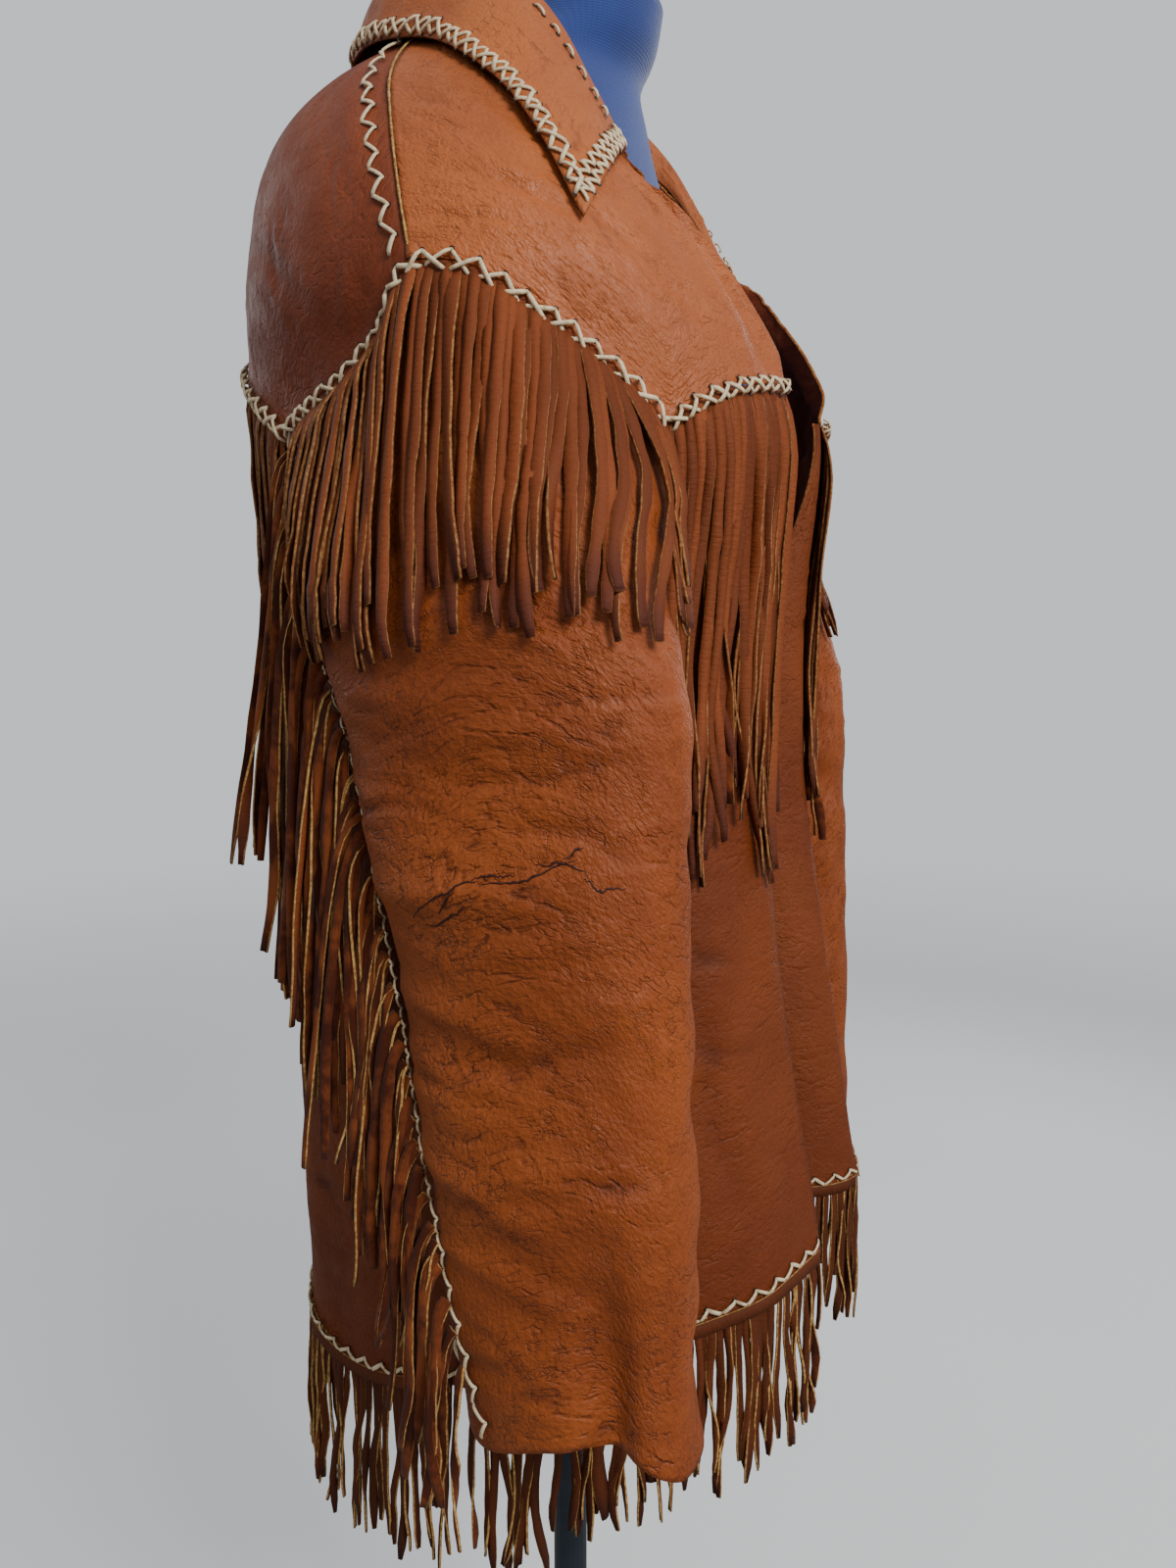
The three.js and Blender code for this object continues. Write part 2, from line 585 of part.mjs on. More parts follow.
// ---- fringe ----------------------------------------------------------------------------------
// hang(u, drop) gives the middle of the fringe's thickness, and facing(u, drop) its outer side.
function fringe(name, strands, lengthAt, bends, hang, facing) {
  const points = [];
  const normals = [];
  const quads = [];
  const point = (u, drop) => {
    points.push(hang(u, drop));
    normals.push(facing(u, drop));
    return points.length - 1;
  };
  const pitch = 1 / strands;
  let previous = null;
  for (let k = 0; k < strands; k += 1) {
    const left = (k + (1 - STRAND_SHARE) / 2) * pitch;
    const right = left + STRAND_SHARE * pitch;
    const ends = [left, right].map((u) => [point(u, 0), point(u, FRINGE_STRIP)]);
    if (previous) quads.push([previous[0], ends[0][0], ends[0][1], previous[1]]);
    quads.push([ends[0][0], ends[1][0], ends[1][1], ends[0][1]]);
    previous = ends[1];
    const length = lengthAt((left + right) / 2) * (0.88 + 0.12 * uneven(k));
    let above = [ends[0][1], ends[1][1]];
    for (let bend = 1; bend <= bends; bend += 1) {
      const drop = mix(FRINGE_STRIP, length, bend / bends);
      const narrow = (bend === bends ? 0.12 : 0) * (right - left);
      const below = [point(left + narrow, drop), point(right - narrow, drop)];
      quads.push([above[0], above[1], below[1], below[0]]);
      above = below;
    }
  }
  add(name, thicken(points, normals, quads, FRINGE_SKIN / 2, FRINGE_SKIN / 2), FRINGE_LEATHER);
}

// The share of the way round at which the sleeve's outer side reaches a given depth y at a height.
function sleeveShare(surface, y, z) {
  const at = (u) => surface(u, THREE.MathUtils.clamp((surface(u, 0).z - z) / (surface(u, 0).z - CUFF), 0, 1));
  let [low, high] = [0.02, OUTER_SHARE - 0.02];
  for (let k = 0; k < 18; k += 1) {
    const middle = (low + high) / 2;
    if (at(middle).y < y) low = middle;
    else high = middle;
  }
  return low;
}

// Fringe that hangs straight down the sleeve's outer side from the seam below the yoke.
function capFringe(side, name) {
  const surface = sleeveSurface(side);
  const place = (u, length) => {
    const start = u * CAP_FRINGE.end * OUTER_SHARE;
    const root = surface(start, 0);
    const z = root.z - length - 1;
    const plumb = CAP_FRINGE.plumb * (1 - u) * Math.min(1, length / 60);
    const share = mix(start, sleeveShare(surface, root.y, z), plumb);
    const top = surface(share, 0).z;
    return [share, THREE.MathUtils.clamp((top - z) / (top - CUFF), 0, 1)];
  };
  const facing = (u, length) => {
    const [share, v] = place(u, length);
    return normalOf(surface, share, v, vec(side * 225, -20, surface(share, v).z - 40));
  };
  const hang = (u, length) => {
    const clear = FRINGE_CLEAR - 1.2 * bump(length, FRINGE_STRIP);
    const [share, v] = place(u, length);
    const lift = CAP_FRINGE.lift * bump(length - 45, 45);
    return surface(share, v).addScaledVector(facing(u, length), clear + lift);
  };
  const lengthAt = (u) => (u < 0.5
    ? mix(CAP_FRINGE.front, CAP_FRINGE.middle, Math.sqrt(2 * u))
    : mix(CAP_FRINGE.middle, CAP_FRINGE.back, 2 * u - 1));
  fringe(name, CAP_FRINGE.strands, lengthAt, 3, hang, facing);
}

// Fringe that hangs from a seam on the body and follows the body surface below it.
function bodyHang(sideOf, phiOf, heightOf) {
  const facing = (u, length) => bodyNormal(sideOf(u), phiOf(u), heightOf(u) - length);
  const hang = (u, length) => {
    const z = heightOf(u) - length - 1;
    const clear = FRINGE_CLEAR - 1.2 * bump(length, FRINGE_STRIP);
    return bodyPoint(sideOf(u), phiOf(u), z).addScaledVector(facing(u, length), clear);
  };
  return { hang, facing };
}

function chestFringe(side, name) {
  const phiOf = seamPath(yokeHeight, FRONT_CORNER - 1, FRONT_TOP_PHI + 1);
  const { hang, facing } = bodyHang(() => side, phiOf, (u) => yokeHeight(phiOf(u)));
  const lengthAt = (u) => mix(CHEST_FRINGE.corner, CHEST_FRINGE.edge, u) * (1 - 0.25 * bump(u - 0.55, 0.25));
  fringe(name, CHEST_FRINGE.strands, lengthAt, 3, hang, facing);
}

function backFringe() {
  const half = seamPath(yokeHeight, BACK_CORNER + 1, BACK);
  const phiOf = (u) => half(1 - Math.abs(2 * u - 1));
  const sideOf = (u) => (u < 0.5 ? -1 : 1);
  const { hang, facing } = bodyHang(sideOf, phiOf, (u) => yokeHeight(phiOf(u)));
  const lengthAt = (u) => mix(BACK_FRINGE.side, BACK_FRINGE.middle, 1 - Math.abs(2 * u - 1));
  fringe('fringe_back_yoke', BACK_FRINGE.strands, lengthAt, 2, hang, facing);
}

// Fringe down the sleeve's laced back seam. The strands lean back, each clear of the next.
function armFringe(side, name) {
  const facingSide = () => vec(side, 0, 0);
  const root = (u) => {
    const z = mix(ARM_FRINGE.top, ARM_FRINGE.bottom, u);
    const low = Math.max(0, (u - ARM_SEAM.from) / (1 - ARM_SEAM.from));
    const turn = ARM_SEAM.sweep * low ** 1.5 - mix(ARM_SEAM.top, ARM_SEAM.bottom, u);
    const point = sleeveSection(side, turn, z);
    return point.add(vec(side * (FRINGE_CLEAR + 1) * 0.6, FRINGE_CLEAR + 1, 0));
  };
  const hang = (u, length) => {
    const lean = radians(mix(ARM_FRINGE.leanTop, ARM_FRINGE.leanBottom, u));
    return root(u).add(vec(0, length * Math.sin(lean), -length * Math.cos(lean)));
  };
  const lengthAt = (u) => mix(ARM_FRINGE.upper, ARM_FRINGE.lower, u);
  fringe(name, ARM_FRINGE.strands, lengthAt, 2, hang, facingSide);
}

// Fringe below the hem, parted from its edge and straight down from it.
function hemFringe(name, sideOf, phiOf, strands) {
  const facing = (u) => {
    const normal = bodyNormal(sideOf(u), phiOf(u), hemHeight(phiOf(u)));
    return normal.setZ(0).normalize();
  };
  const hang = (u, length) => {
    const phi = phiOf(u);
    const point = bodyPoint(sideOf(u), phi, hemHeight(phi) - 1);
    return point.addScaledVector(facing(u), -SKIN / 2).add(vec(0, 0, -length));
  };
  fringe(name, strands, () => HEM_FRINGE.length, 1, hang, facing);
}

// ---- dress form and stand ----------------------------------------------------------------------
function dressForm() {
  const turns = 28;
  const heights = FORM.map((row) => row.z);
  const place = [];
  for (const z of heights) {
    const half = column(FORM, 'z', 'half', z);
    const [front, back] = [column(FORM, 'z', 'front', z), column(FORM, 'z', 'back', z)];
    for (let k = 0; k < turns; k += 1) {
      const angle = (2 * Math.PI * k) / turns;
      place.push(half * Math.sin(angle), (front + back) / 2 - ((back - front) / 2) * Math.cos(angle), z);
    }
  }
  const middleY = (row) => (row.front + row.back) / 2;
  const bottom = place.length / 3;
  place.push(0, middleY(FORM[0]), FORM[0].z, 0, middleY(FORM.at(-1)), FORM.at(-1).z);
  const faces = [];
  const index = (j, k) => j * turns + (k % turns);
  for (let k = 0; k < turns; k += 1) {
    for (let j = 0; j < heights.length - 1; j += 1) {
      faces.push(index(j, k), index(j, k + 1), index(j + 1, k + 1));
      faces.push(index(j, k), index(j + 1, k + 1), index(j + 1, k));
    }
    faces.push(bottom, index(0, k + 1), index(0, k));
    faces.push(bottom + 1, index(heights.length - 1, k), index(heights.length - 1, k + 1));
  }
  add('form_torso', solid(place, faces), FORM_CLOTH);
}

function lathe(name, profile, turns, y, z, material) {
  const shape = profile.map(([r, h]) => new THREE.Vector2(r, h));
  const geometry = new THREE.LatheGeometry(shape, turns);
  geometry.rotateX(Math.PI / 2);
  geometry.translate(0, y, z);
  add(name, geometry, material);
}

function stand() {
  const under = FORM[0].z;
  const top = FORM.at(-1).z;
  const { radius, rim, height } = NECK_CAP;
  const dome = evenly(4, 0, Math.PI / 2).map((a) => [radius * Math.cos(a), rim + height * Math.sin(a)]);
  dome[dome.length - 1][0] = 0;
  lathe('form_neck_cap', [[0, 0], [radius, 0], ...dome], 24, NECK_CAP.y, top + STACK_GAP, CAP_PLASTIC);
  const hub = BASE.hub;
  const length = under - hub - 2 * STACK_GAP;
  const pole = [[0, 0], [POLE.radius, 0], [POLE.radius, length], [0, length]];
  lathe('stand_pole', pole, 20, POLE.y, hub + STACK_GAP, STAND_STEEL);
  const plate = [[0, 0], [BASE.radius, 0], [BASE.radius, BASE.edge - 3], [BASE.radius - 6, BASE.edge],
    [BASE.hubRadius + 8, BASE.edge + 4], [BASE.hubRadius, hub], [0, hub]];
  lathe('stand_base', plate, 36, 0, 0, STAND_STEEL);
}

// ---- the whole jacket on its form -----------------------------------------------------------------
for (const [side, word] of [[-1, 'right'], [1, 'left']]) {
  const front = side > 0 ? turnedIn(frontPanel(side)) : frontPanel(side);
  panel(`front_${word}`, front.surface, front.stops, 10, bodyAxis, BUCKSKIN);
  const yoke = frontYoke(side);
  panel(`yoke_front_${word}`, yoke.surface, yoke.stops, 6, shoulderInside, YOKE_SKIN);
  sleeve(side, `sleeve_${word}`);
  capFringe(side, `fringe_cap_${word}`);
  chestFringe(side, `fringe_chest_${word}`);
  armFringe(side, `fringe_arm_${word}`);
  const hemStart = edgePhi(HEM[0].z) + 1;
  hemFringe(`fringe_hem_${word}`, () => side, (u) => mix(hemStart, SIDE - 1, u), HEM_FRINGE.frontStrands);
}
const back = backPanel();
panel('back', back.surface, back.stops, 10, bodyAxis, BUCKSKIN);
const yokeBack = backYoke();
panel('yoke_back', yokeBack.surface, yokeBack.stops, 6, shoulderInside, YOKE_SKIN);
collar();
backFringe();
hemFringe('fringe_hem_back', (u) => (u < 0.5 ? -1 : 1), (u) => BACK - Math.abs(mix(-SIDE + 1, SIDE - 1, u)),
  HEM_FRINGE.backStrands);
dressForm();
stand();

export default jacket;
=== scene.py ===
"""Fringed, hand-laced buckskin jacket, open in front, on a limbless dress form with a pole stand.

The tables and the surfaces are in millimetres and meshes are made in metres. +Z is up, the front
faces -Y, and the wearer's left is +X. Every panel of leather is a grid whose points are moved onto
the body, sleeve or collar surface and then pushed in or out by its creases and puckers. Strands of
fringe and laces are ribbons that follow those surfaces.
"""

import math
import random

import bmesh
import bpy
import numpy as np
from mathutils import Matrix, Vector


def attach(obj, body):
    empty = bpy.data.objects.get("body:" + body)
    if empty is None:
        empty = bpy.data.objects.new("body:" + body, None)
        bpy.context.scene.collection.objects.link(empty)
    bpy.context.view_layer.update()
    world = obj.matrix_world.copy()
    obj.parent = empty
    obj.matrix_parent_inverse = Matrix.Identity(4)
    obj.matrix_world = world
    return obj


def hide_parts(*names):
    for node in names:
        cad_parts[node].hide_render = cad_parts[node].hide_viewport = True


MM = 0.001

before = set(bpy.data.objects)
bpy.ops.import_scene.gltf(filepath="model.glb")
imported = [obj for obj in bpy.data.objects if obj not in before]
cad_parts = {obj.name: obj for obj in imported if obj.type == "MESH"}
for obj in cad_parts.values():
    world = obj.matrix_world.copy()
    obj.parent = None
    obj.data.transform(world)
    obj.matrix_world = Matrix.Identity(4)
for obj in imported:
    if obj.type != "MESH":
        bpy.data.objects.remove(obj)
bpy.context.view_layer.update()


# ---- tables ------------------------------------------------------------------------------------
def table(names, *rows):
    """A table by its named columns. Its rows rise in the first one."""
    return dict(zip(names.split(), np.array(rows, float).T))


SKIN = 2.0  # thickness of the buckskin
STRAND_SKIN = 1.4  # thickness of a strand of fringe
LACE_SKIN = 1.1  # thickness of a lace
SEAM_GAP = 0.4
SQUARENESS = 2.25  # exponent of the body's and the sleeve's sections

BODY = table(
    "z half front side back",
    (440, 208, -217, -12, 177),
    (560, 205, -212, -11, 178),
    (700, 201, -190, -9, 182),
    (830, 198, -171, -7, 187),
    (960, 196, -164, -6, 195),
    (1050, 197, -168, -5, 201),
    (1130, 206, -174, -5, 201),
    (1165, 218, -169, -5, 200),
    (1200, 229, -152, -4, 199),
    (1240, 223, -126, 6, 197),
    (1285, 202, -95, 22, 192),
    (1320, 174, -78, 38, 183),
    (1350, 142, -68, 47, 164),
    (1376, 107, -61, 48, 138),
    (1400, 76, -54, 42, 96),
)
SKIRT_WAVES = table("phi width depth", (34, 9, 5), (62, 10, -6), (128, 10, 6), (152, 9, -6))
WAVES_TOP = 980
WAVES_FULL = 560

# Seams by their place round the body, from 0 degrees in front to 180 at the back.
FRONT_CORNER = 49
BACK_CORNER = 120
SIDE = 90
BACK = 180
HEM = table(
    "phi z", (0, 604), (30, 602), (60, 586), (90, 555), (115, 540), (145, 560), (180, 578)
)
YOKE_SEAM = table(
    "phi z",
    (15, 1157),
    (31, 1149),
    (42, 1137),
    (49, 1122),
    (60, 1154),
    (70, 1178),
    (80, 1197),
    (90, 1202),
    (95, 1172),
    (104, 1151),
    (120, 1129),
    (146, 1176),
    (180, 1212),
)
YOKE_CORNERS = (FRONT_CORNER, SIDE, BACK_CORNER)
YOKE_SEAM_EDGE = 1157
ARMHOLE = table(
    "phi z", (49, 1122), (55, 1068), (69, 1021), (90, 1005), (104, 1022), (114, 1066), (120, 1129)
)
FRONT_EDGE = table("z x", (440, 60), (1156, 65), (1200, 74), (1231, 86), (1284, 112))
# The strip beyond the left front's fold line, which turns in towards the form.
TURN_IN = {"share": 0.24, "width": 46, "from": 14, "to": 66, "fade": 0.34, "least": 0.12}
# From the collar's front end to the middle of the back.
NECK = table(
    "along phi z edgePhi edgeZ stand",
    (0, 31, 1284, 55, 1223, 6),
    (0.18, 35, 1312, 58, 1282, 10),
    (0.36, 46, 1346, 68, 1320, 18),
    (0.55, 70, 1378, 88, 1354, 30),
    (0.75, 108, 1397, 120, 1371, 42),
    (1, 180, 1400, 180, 1380, 46),
)
COLLAR_INSET = 3.4
COLLAR_CLEAR = 6
COLLAR_BULGE = 7
COLLAR_FOLD = 7
STAND_SHARE = 0.3

SLEEVE = table(
    "z x thick front back",
    (560, 254, 36, -172, -44),
    (610, 253, 38, -171, -40),
    (711, 250, 41, -168, -24),
    (824, 246, 42, -164, -2),
    (938, 243, 42, -160, 24),
    (1000, 242, 41, -157, 46),
    (1080, 240, 38, -150, 74),
    (1160, 238, 32, -128, 86),
    (1215, 236, 24, -100, 80),
)
CUFF = 590
CUFF_WAVE = 9
SLEEVE_TURN = 110
CAP_SHARE = 0.34
OUTER_SHARE = 0.62
CUFF_FOLD_TURN = 24
CUFF_FOLD_WIDTH = 13
CUFF_FOLD_DEPTH = 13
CUFF_FOLD_TOP = 760
SLEEVE_ROLLS = table(
    "z reach depth", (730, 18, 3), (800, 20, -4), (880, 22, 5), (940, 16, -3), (1010, 20, 4)
)


def curve(rows, key, name, at):
    """A smooth curve through one column of a table."""
    keys, values = rows[key], rows[name]
    last = len(keys) - 1
    low = np.maximum(np.arange(last + 1) - 1, 0)
    high = np.minimum(np.arange(last + 1) + 1, last)
    slope = (values[high] - values[low]) / (keys[high] - keys[low])
    i = np.clip(np.searchsorted(keys, at) - 1, 0, last - 1)
    span = keys[i + 1] - keys[i]
    t = np.clip((at - keys[i]) / span, 0, 1)
    eased = (2 * t - 3) * t * t
    held = values[i] * (1 + eased) - values[i + 1] * eased
    return held + span * t * (1 - t) * (slope[i] * (1 - t) - slope[i + 1] * t)


def cornered(rows, key, name, at, corners=()):
    """The same, but with a corner kept at each of these keys."""
    ends = [rows[key][0], *corners, rows[key][-1]]
    result = np.zeros(np.shape(at))
    for low, high in zip(ends, ends[1:]):
        part = {k: v[(rows[key] >= low) & (rows[key] <= high)] for k, v in rows.items()}
        reached = (at >= low) | (low == ends[0])
        result = np.where(reached, curve(part, key, name, np.clip(at, low, high)), result)
    return result


def mix(a, b, t):
    return a + (b - a) * t


def ease(t):
    t = np.clip(t, 0, 1)
    return t * t * (3 - 2 * t)


def bump(distance, width):
    return np.exp(-((distance / width) ** 2))


def unit(vectors):
    length = np.linalg.norm(vectors, axis=-1, keepdims=True)
    return vectors / np.maximum(length, 1e-9)


def ripple(x, y, size, seed):
    """Smooth unevenness between about -1 and 1, from a few crossing waves."""
    dice = random.Random(seed)
    total = 0
    for _ in range(7):
        heading = dice.uniform(0, math.tau)
        pitch = size * dice.uniform(0.7, 1.8)
        phase = dice.uniform(0, math.tau)
        run = x * math.cos(heading) + y * math.sin(heading)
        total = total + np.sin(run * math.tau / pitch + phase)
    return total / 3.2


def creases(rows, across, up):
    """The relief of straight and bowed creases: each has two ends, a width and a depth. It also gives the
    painted shade along the sunken ones.
    """
    relief = np.zeros(np.shape(across))
    dip_shade = np.zeros(np.shape(across))
    for x0, z0, x1, z1, bow, width, depth in zip(*(rows[k] for k in CREASE_COLUMNS.split())):
        length = math.hypot(x1 - x0, z1 - z0)
        dx, dz = (x1 - x0) / length, (z1 - z0) / length
        t = np.clip(((across - x0) * dx + (up - z0) * dz) / length, 0, 1)
        off = (across - mix(x0, x1, t)) * -dz + (up - mix(z0, z1, t)) * dx
        off = off - bow * np.sin(np.pi * t)
        beyond = np.hypot(across - mix(x0, x1, t), up - mix(z0, z1, t))
        fade = np.sin(np.pi * np.clip(t, 0.02, 0.98)) ** 0.6 * (beyond < abs(bow) + 5 * width)
        line = bump(off, width)
        shoulder = bump(np.abs(off) - 2.1 * width, width)
        relief += depth * fade * (line - 0.35 * shoulder)
        dip_shade += abs(min(depth, 0)) * fade * line
    return relief, dip_shade


CREASE_COLUMNS = "x0 z0 x1 z1 bow width depth"


# ---- the body's surface --------------------------------------------------------------------------
def body_point(side, phi, z):
    """side is -1 on the wearer's right and 1 on the left."""
    side, phi, z = np.broadcast_arrays(side, np.asarray(phi, float), np.asarray(z, float))
    half = curve(BODY, "z", "half", z)
    middle = curve(BODY, "z", "side", z)
    end = np.where(phi < SIDE, curve(BODY, "z", "front", z), curve(BODY, "z", "back", z))
    across = np.abs(np.sin(np.radians(phi))) ** (2 / SQUARENESS)
    along = np.abs(np.cos(np.radians(phi))) ** (2 / SQUARENESS)
    full = 1 - ease((z - WAVES_FULL) / (WAVES_TOP - WAVES_FULL))
    grow = 1
    for at, width, depth in zip(SKIRT_WAVES["phi"], SKIRT_WAVES["width"], SKIRT_WAVES["depth"]):
        grow = grow + full * depth * bump(phi - at, width) / half
    return np.stack([side * half * across * grow, middle + (end - middle) * along * grow, z], -1)


def normal_of(surface, u, v, inside, step):
    """The surface's normal on the side that faces away from the given points."""
    across = surface(u + step[0], v) - surface(u - step[0], v)
    up = surface(u, v + step[1]) - surface(u, v - step[1])
    normal = unit(np.cross(across, up))
    outward = surface(u, v) - inside
    return normal * np.where(np.sum(normal * outward, -1, keepdims=True) < 0, -1, 1)


def body_normal(side, phi, z):
    phi, z = np.broadcast_arrays(np.asarray(phi, float), np.asarray(z, float))
    inside = np.stack([0 * z, 0 * z + 30, np.minimum(z, 1240)], -1)
    return normal_of(lambda a, b: body_point(side, a, b), phi, z, inside, (2, 4))


def hem_height(phi):
    return curve(HEM, "phi", "z", phi)


def yoke_height(phi):
    return cornered(YOKE_SEAM, "phi", "z", phi, YOKE_CORNERS)


def armhole_height(phi):
    return curve(ARMHOLE, "phi", "z", phi)


def edge_phi(z):
    """How far round the free front edge lies."""
    share = curve(FRONT_EDGE, "z", "x", z) / curve(BODY, "z", "half", z)
    return np.degrees(np.arcsin(share ** (SQUARENESS / 2)))


def seam_path(height, start, stop):
    """The places round the body along a seam, by their share of its length."""
    phi = np.linspace(start, stop, 240)
    points = body_point(1, phi, height(phi))
    steps = np.linalg.norm(np.diff(points, axis=0), axis=1)
    share = np.concatenate([[0], np.cumsum(steps)]) / np.sum(steps)
    return lambda at: np.interp(at, share, phi)


FRONT_TOP_PHI = float(edge_phi(YOKE_SEAM_EDGE))
CAP_FRONT = seam_path(yoke_height, FRONT_CORNER, SIDE)
CAP_BACK = seam_path(yoke_height, SIDE, BACK_CORNER)
ARM_FRONT = seam_path(armhole_height, FRONT_CORNER, SIDE)
ARM_BACK = seam_path(armhole_height, SIDE, BACK_CORNER)


def neck(name, along):
    return curve(NECK, "along", name, along)


def along_at(phi):
    shares = np.linspace(0, 1, 400)
    return np.interp(phi, neck("phi", shares), shares)


SHOULDER_ALONG = float(along_at(SIDE))


def patch(side, bottom, top, left, right):
    """A patch of the body between four edges, each of which gives (phi, z)."""

    def surface(u, v):
        place = []
        for k in range(2):
            flat = mix(mix(bottom(0)[k], bottom(1)[k], u), mix(top(0)[k], top(1)[k], u), v)
            between = mix(bottom(u)[k], top(u)[k], v) + mix(left(v)[k], right(v)[k], u)
            place.append(between - flat)
        return body_point(side, place[0], place[1])

    return surface


def front_surface(side):
    def bottom(u):
        phi = mix(edge_phi(hem_height(15)), SIDE, u)
        return phi, hem_height(phi)

    def top(u):
        phi = mix(FRONT_TOP_PHI, SIDE, u)
        return phi, np.where(phi < FRONT_CORNER, yoke_height(phi), armhole_height(phi)) - SEAM_GAP

    def left(v):
        z = mix(bottom(0)[1], top(0)[1], v)
        return edge_phi(z), z

    def right(v):
        return SIDE + 0 * v, mix(bottom(1)[1], top(1)[1], v)

    return patch(side, bottom, top, left, right)


def turned_in(surface):
    """The left front with its turned-in strip, which takes the first part of the way round."""

    def turned(u, v):
        at = mix(-TURN_IN["share"], 1, u)
        along = np.maximum(0, -at / TURN_IN["share"])
        reach = TURN_IN["width"] * mix(TURN_IN["least"], 1, ease((1 - v) / TURN_IN["fade"]))
        heading = np.radians(mix(TURN_IN["from"], TURN_IN["to"], along / 2))
        inward = np.stack([-np.cos(heading), np.sin(heading), 0 * heading], -1)
        return surface(np.maximum(at, 0), v) + inward * (reach * along)[..., None]

    return turned


def back_surface(u, v):
    turn = mix(-SIDE, SIDE, u)
    phi = BACK - np.abs(turn)
    top = np.where(phi > BACK_CORNER, yoke_height(phi), armhole_height(phi)) - SEAM_GAP
    return body_point(np.where(turn < 0, -1, 1), phi, mix(hem_height(phi), top, v))


def front_yoke_surface(side):
    def top(u):
        along = SHOULDER_ALONG * u
        return neck("phi", along), neck("z", along)

    def bottom(u):
        phi = mix(FRONT_TOP_PHI, SIDE, u)
        return phi, yoke_height(phi)

    def left(v):
        z = mix(bottom(0)[1], top(0)[1], v)
        return edge_phi(z), z

    def right(v):
        return SIDE + 0 * v, mix(bottom(1)[1], top(1)[1], v)

    return patch(side, bottom, top, left, right)


def back_yoke_surface(u, v):
    turn = mix(-SIDE, SIDE, u)
    phi = BACK - np.abs(turn)
    top = neck("z", along_at(phi))
    return body_point(np.where(turn < 0, -1, 1), phi, mix(yoke_height(phi), top, v))


# ---- the sleeve's surface ---------------------------------------------------------------------------
def squared(value):
    return np.sign(value) * np.abs(value) ** (2 / SQUARENESS)


def sleeve_section(side, turn, z):
    """turn is 0 on the sleeve's outer line and positive to the front."""
    front = curve(SLEEVE, "z", "front", z)
    back = curve(SLEEVE, "z", "back", z)
    angle = np.radians(turn)
    outside = np.maximum(0, np.cos(angle))
    out = curve(SLEEVE, "z", "thick", z) * squared(np.cos(angle))
    for at, reach, depth in zip(*(SLEEVE_ROLLS[k] for k in ("z", "reach", "depth"))):
        out = out + depth * bump(z - at, reach) * outside
    folded = 1 - ease((z - CUFF) / (CUFF_FOLD_TOP - CUFF))
    out = out - CUFF_FOLD_DEPTH * folded * bump(turn - CUFF_FOLD_TURN, CUFF_FOLD_WIDTH)
    x = side * (curve(SLEEVE, "z", "x", z) + out)
    y = (front + back) / 2 - (back - front) / 2 * squared(np.sin(angle))
    return np.stack(np.broadcast_arrays(x, y, z), -1)


def sleeve_surface(side):
    """u goes round from the front corner over the shoulder and back under the arm, v down."""

    def surface(u, v):
        u, v = np.broadcast_arrays(np.asarray(u, float) % 1.0, np.asarray(v, float))
        outer = u <= OUTER_SHARE
        share = np.where(outer, u / OUTER_SHARE, (u - OUTER_SHARE) / (1 - OUTER_SHARE))
        over = np.where(share < 0.5, CAP_FRONT(2 * share), CAP_BACK(2 * share - 1))
        under = np.where(share < 0.5, ARM_BACK(1 - 2 * share), ARM_FRONT(2 - 2 * share))
        phi = np.where(outer, over, under)
        height = np.where(outer, yoke_height(phi), armhole_height(phi))
        low = mix(-SLEEVE_TURN, SLEEVE_TURN - 360, share)
        turn = np.where(outer, mix(SLEEVE_TURN, -SLEEVE_TURN, share), low)
        apart = np.where(outer, 0, SEAM_GAP + 0.8 * np.sin(np.pi * share))
        head = body_point(side, phi, height - SEAM_GAP)
        head = head + body_normal(side, phi, height) * apart[..., None]
        cuff = CUFF + CUFF_WAVE * np.sin(np.radians(3 * turn + 40))
        z = mix(head[..., 2], cuff, v)
        ring = sleeve_section(side, turn, z)
        blend = ease((v + CAP_SHARE / 2) / (1.5 * CAP_SHARE)) * 1.35 - 0.35
        x = mix(head[..., 0], ring[..., 0], blend)
        y = mix(head[..., 1], ring[..., 1], blend)
        return np.stack([x, y, z], -1)

    return surface


def collar_surface(u, v):
    """u goes from the right front end round the neck, v up the stand and down the fall."""
    side = np.where(u < 0.5, -1, 1)
    along = 1 - np.abs(2 * u - 1)
    base = body_point(side, neck("phi", along), neck("z", along))
    outward = unit(np.stack([base[..., 0], base[..., 1] - 20, 0 * u], -1))
    base[..., 2] += SEAM_GAP + 0.3
    base[..., 0] -= side * mix(COLLAR_INSET, 0, np.minimum(1, along / 0.4))
    stand = neck("stand", along)
    lean = outward * (COLLAR_FOLD * np.minimum(1, stand / 20))[..., None]
    fold = base + lean + np.stack([0 * u, 0 * u, stand], -1)
    edge_at = neck("edgePhi", along), neck("edgeZ", along)
    edge = body_point(side, *edge_at) + body_normal(side, *edge_at) * COLLAR_CLEAR
    rise = np.clip(v / STAND_SHARE, 0, 1)[..., None]
    fall = np.clip((v - STAND_SHARE) / (1 - STAND_SHARE), 0, 1)[..., None]
    up = mix(base, fold, rise) - outward * 2.5 * np.sin(np.pi * rise)
    bulge = (outward + np.array([0, 0, 0.8])) * COLLAR_BULGE * np.sin(np.pi * fall)
    down = mix(fold, edge, fall) + bulge
    return np.where((v < STAND_SHARE)[..., None], up, down)


